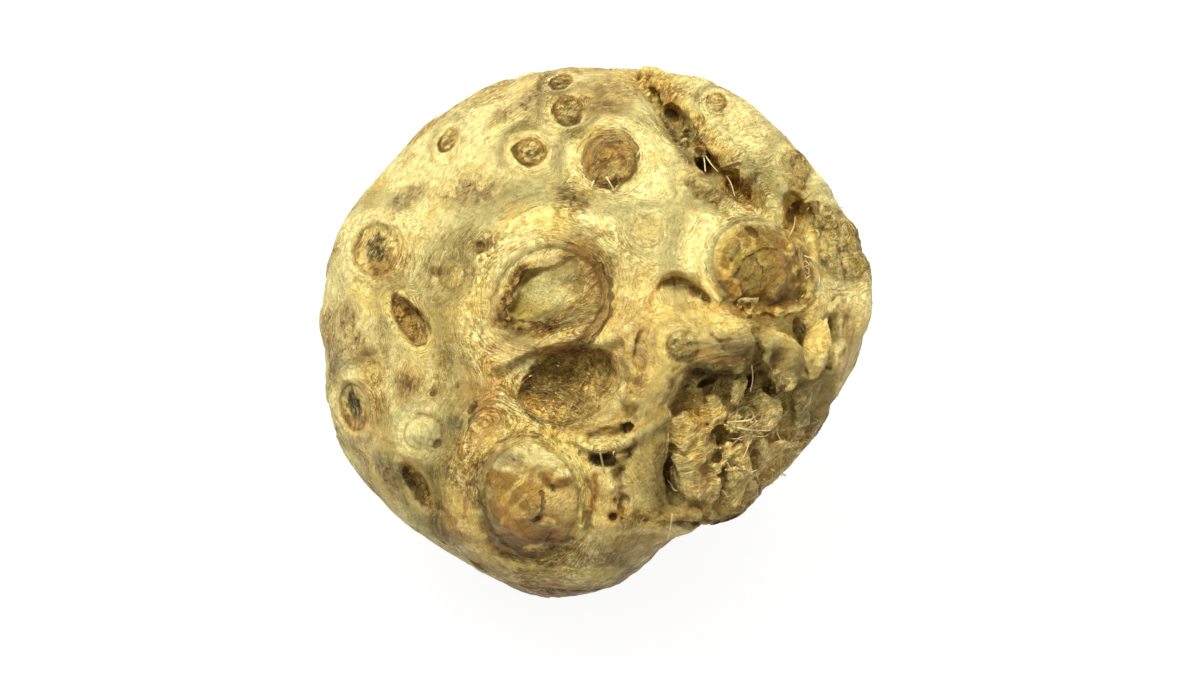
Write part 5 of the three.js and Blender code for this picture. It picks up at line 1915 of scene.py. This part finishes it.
def make_skin_pieces(skin):
    """The skin in as few pieces as its triangles allow, from front to back, with one set of normals."""
    paint = paint_skin(skin)
    material = skin_material()
    row_normals = skin.normals @ FACE_AXES
    count = math.ceil(2 * len(skin.faces) / MOST_TRIANGLES)
    depth = skin.points[skin.faces, 2].mean(1)
    pieces = []
    for name, chosen in zip(PIECE_NAMES, np.array_split(np.argsort(-depth, kind="stable"), count)):
        used, faces = np.unique(skin.faces[chosen], return_inverse=True)
        piece = make_object(name, skin.points[used], faces.reshape(-1, 4), material)
        add_attribute(piece.data, "paint", np.column_stack((paint.colour, paint.crumble))[used])
        add_attribute(piece.data, "flow", skin.flow[used])
        add_attribute(piece.data, "grain", paint.grain[used])
        add_attribute(piece.data, "dark", paint.dark[used])
        piece.data.normals_split_custom_set_from_vertices(row_normals[used].tolist())
        pieces.append(piece)
    return pieces


def hair(rng, place, normal, length, radius, count=6):
    """A fine curved rootlet that lies close to the surface."""
    side = unit(np.cross(normal, rng.normal(size=3)))
    heading = unit(side + 0.5 * normal)
    bend = 0.30 * rng.normal(size=3) - 0.12 * normal
    rows = []
    for i in range(count + 1):
        rows.append((*place, radius * (1 - 0.7 * i / count)))
        heading = unit(heading + bend + 0.2 * rng.normal(size=3))
        place = place + heading * length / count
    return rows


# Where fine rootlets stand: centre, spread, how many, longest.
HAIR_PATCHES = [
    ((31, -20, 38), (3.5, 3, 3), 26, 4.5),
    ((26, -25, 42), (5, 5, 4), 40, 3.5),
    ((41, -20, 28), (4, 4, 6), 22, 4.0),
    ((24, 38, 40), (4, 4, 3), 26, 2.2),
    ((31, 33, 40), (3, 2, 3), 16, 2.2),
    ((43, 11, 38), (3, 4, 4), 30, 2.6),
    ((50, 28, 24), (4, 4, 4), 12, 2.0),
    ((18, -38, 34), (4, 2, 4), 20, 3.0),
    ((37, -29, 26), (3, 3, 5), 14, 3.0),
    ((26, 6, 50), (2, 1.5, 3), 12, 2.0),
    ((5, -18, 50), (4, 4, 3), 20, 1.6),
    ((-7, -13, 52), (5, 3, 3), 30, 1.0),
    ((3, 31, 50), (2.5, 0.8, 2), 8, 2.0),
]

# Threads that can be told apart: [x, y, lift, radius] on the face.
THREADS = [
    [(1.6, -26.5, 4.4, 0.35), (1.5, -31, 3.4, 0.3)],
    [(24.0, 42.5, 1.8, 0.3), (24.6, 40, 2.2, 0.25), (24.2, 36.5, 1.2, 0.25)],
    [(26.0, 41.0, 1.8, 0.3), (26.4, 38.5, 2.0, 0.25), (27.6, 36.8, 1.2, 0.2)],
    [(30.2, 36.5, 1.0, 0.25), (31.2, 33.5, 1.8, 0.25), (31.4, 31, 0.8, 0.2)],
    [(2.2, 35.6, 1.2, 0.35), (3.6, 33.0, 1.2, 0.3)],
    [(-0.6, 34.8, 1.0, 0.25), (-1.2, 33.4, 1.0, 0.2)],
    [(45.0, 27.5, 2.2, 0.25), (43.5, 24.0, 2.0, 0.25), (43.8, 21.0, 1.2, 0.2)],
    [(48.0, 16.0, 1.2, 0.3), (50.5, 13.5, 2.2, 0.25), (50.0, 10.5, 1.4, 0.25)],
    [(36.0, -6.5, 1.2, 0.25), (34.8, -10, 1.8, 0.22), (34.4, -13, 1.2, 0.2)],
    [(30.0, -20.5, 1.4, 0.3), (34.0, -19.6, 2.2, 0.25), (37.5, -17.6, 2.0, 0.2)],
    [(32.0, -22.2, 1.4, 0.3), (36.0, -22.6, 2.0, 0.25), (39.5, -22.0, 1.6, 0.2)],
    [(16.5, -42.0, 1.2, 0.3), (16.0, -45.5, 1.6, 0.25), (14.6, -47.5, 0.8, 0.2)],
    [(39.5, -31, 1.0, 0.5), (42.5, -32.4, 1.2, 0.25)],
    [(38, -33.4, 0.8, 0.5), (40.6, -35, 1.0, 0.25)],
]


THREAD_THINNING = 0.62  # how thick threads and the fan's fibres are, of the radii given
FAN_FROM = np.array((32.6, -22.4))  # on the face
FAN_COUNT = 30
FAN_TURNS = (4, 84)  # the first fibre's and the last one's, in degrees from the right


def fan_of_fibres(rng):
    """Pale fibres that spread up and to the right from one place in the tangle."""
    fibres = []
    for turn in np.radians(np.linspace(*FAN_TURNS, FAN_COUNT)):
        turn += 0.1 * rng.normal()
        length, radius = rng.uniform(3.0, 8.0), rng.uniform(0.10, 0.18)
        start = FAN_FROM + 2.4 * rng.normal(size=2)
        middle = start + 0.5 * length * np.array((math.cos(turn), math.sin(turn)))
        turn += 0.4 * rng.normal()
        end = middle + 0.5 * length * np.array((math.cos(turn), math.sin(turn)))
        lift = rng.uniform(0.3, 1.1)
        fibres.append([(*start, 0.5, radius), (*middle, lift, radius), (*end, 0.5 * lift, 0.5 * radius)])
    return fibres


def make_rootlets(tree):
    rng = np.random.default_rng(23)
    parts = []
    for centre, spread, count, longest in HAIR_PATCHES:
        for _ in range(count):
            place, normal = nearest(tree, np.array(centre) + rng.normal(size=3) * spread)
            length, radius = rng.uniform(0.3, 1.0) * longest, rng.uniform(0.09, 0.2)
            parts.append(tube(hair(rng, place - normal * 0.5, normal, length, radius), sides=6, step=0.7))
    for rows in THREADS + fan_of_fibres(rng):
        thin = [(x, y, top, THREAD_THINNING * radius) for x, y, top, radius in rows]
        parts.append(tube(laid_strand(tree, thin), sides=6, step=0.7))
    return make_object("rootlets", *joined(parts), rootlet_material())


# ---------------------------------------------------------------- stage

CAMERA_LENS = 70
KEY_FROM = np.array((-0.13, 0.64, 0.76))  # in the face frame
KEY_DISTANCE = 0.9  # in metres
KEY_SIZE = 0.30  # in metres
KEY_WATTS = 11.6
WORLD_LIGHT = 0.64  # the world's strength as a light on the root
WORLD_WHITE = 1.0  # its strength where it is seen
FLOOR_GLOW = 0.91  # with the diffuse part, this makes the floor show as white
FLOOR_SIZE = 6  # in metres


def aim(obj, place, target):
    obj.location = Vector(place)
    obj.rotation_mode = "QUATERNION"
    obj.rotation_quaternion = (Vector(target) - Vector(place)).to_track_quat("-Z", "Y")


def make_camera():
    data = bpy.data.cameras.new("camera")
    data.lens = CAMERA_LENS
    camera = bpy.data.objects.new("camera", data)
    bpy.context.scene.collection.objects.link(camera)
    aim(camera, to_row(EYE), to_row(EYE - (0, 0, VIEW_DISTANCE)))
    bpy.context.scene.camera = camera


def make_light(name, face_direction, distance, size, energy):
    data = bpy.data.lights.new(name, "AREA")
    data.size = size
    data.energy = energy
    light = bpy.data.objects.new(name, data)
    bpy.context.scene.collection.objects.link(light)
    aim(light, to_row(distance / MILLI * unit(face_direction)), to_row(np.zeros(3)))


def make_floor():
    bpy.ops.mesh.primitive_plane_add(size=FLOOR_SIZE)
    floor = bpy.context.object
    floor.name = "floor"
    s = Shader("floor")
    s.principled.inputs["Base Color"].default_value = (0.55, 0.55, 0.55, 1)
    s.principled.inputs["Roughness"].default_value = 1.0
    s.principled.inputs["Specular IOR Level"].default_value = 0.0
    # The camera sees a white floor that keeps part of the root's shadow.
    glow = s.node("ShaderNodeEmission", {"Color": (1, 1, 1, 1), "Strength": FLOOR_GLOW})
    matt = s.node("ShaderNodeBsdfDiffuse", {"Color": (0.2, 0.2, 0.2, 1)})
    white = s.node("ShaderNodeAddShader", {0: glow.outputs[0], 1: matt.outputs[0]})
    seen = s.node("ShaderNodeLightPath").outputs
    shown = s.maths("MAXIMUM", seen["Is Camera Ray"], seen["Is Glossy Ray"])
    shown = s.maths("MAXIMUM", shown, seen["Is Transmission Ray"])
    either = s.node("ShaderNodeMixShader", {0: shown, 1: s.principled.outputs[0], 2: white.outputs[0]})
    s.tree.links.new(either.outputs[0], s.tree.nodes["Material Output"].inputs["Surface"])
    floor.data.materials.append(s.material)


def make_world():
    world = bpy.data.worlds.new("world")
    bpy.context.scene.world = world
    world.use_nodes = True
    nodes, links = world.node_tree.nodes, world.node_tree.links
    nodes["Background"].inputs["Color"].default_value = (1, 1, 1, 1)
    seen = nodes.new("ShaderNodeLightPath").outputs
    shown = seen["Is Camera Ray"]
    for name in ("Is Glossy Ray", "Is Transmission Ray"):
        either = nodes.new("ShaderNodeMath")
        either.operation = "MAXIMUM"
        links.new(shown, either.inputs[0])
        links.new(seen[name], either.inputs[1])
        shown = either.outputs[0]
    strength = nodes.new("ShaderNodeMapRange")
    strength.inputs["To Min"].default_value = WORLD_LIGHT
    strength.inputs["To Max"].default_value = WORLD_WHITE
    links.new(shown, strength.inputs["Value"])
    links.new(strength.outputs["Result"], nodes["Background"].inputs["Strength"])


make_camera()
make_floor()
make_world()
make_light("key", KEY_FROM, KEY_DISTANCE, KEY_SIZE, KEY_WATTS)
bpy.context.scene.view_settings.view_transform = "Standard"

root_skin = Skin()
for piece in make_skin_pieces(root_skin) + [make_rootlets(root_skin.tree)]:
    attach(piece, "root")
    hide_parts("celeriac_root")
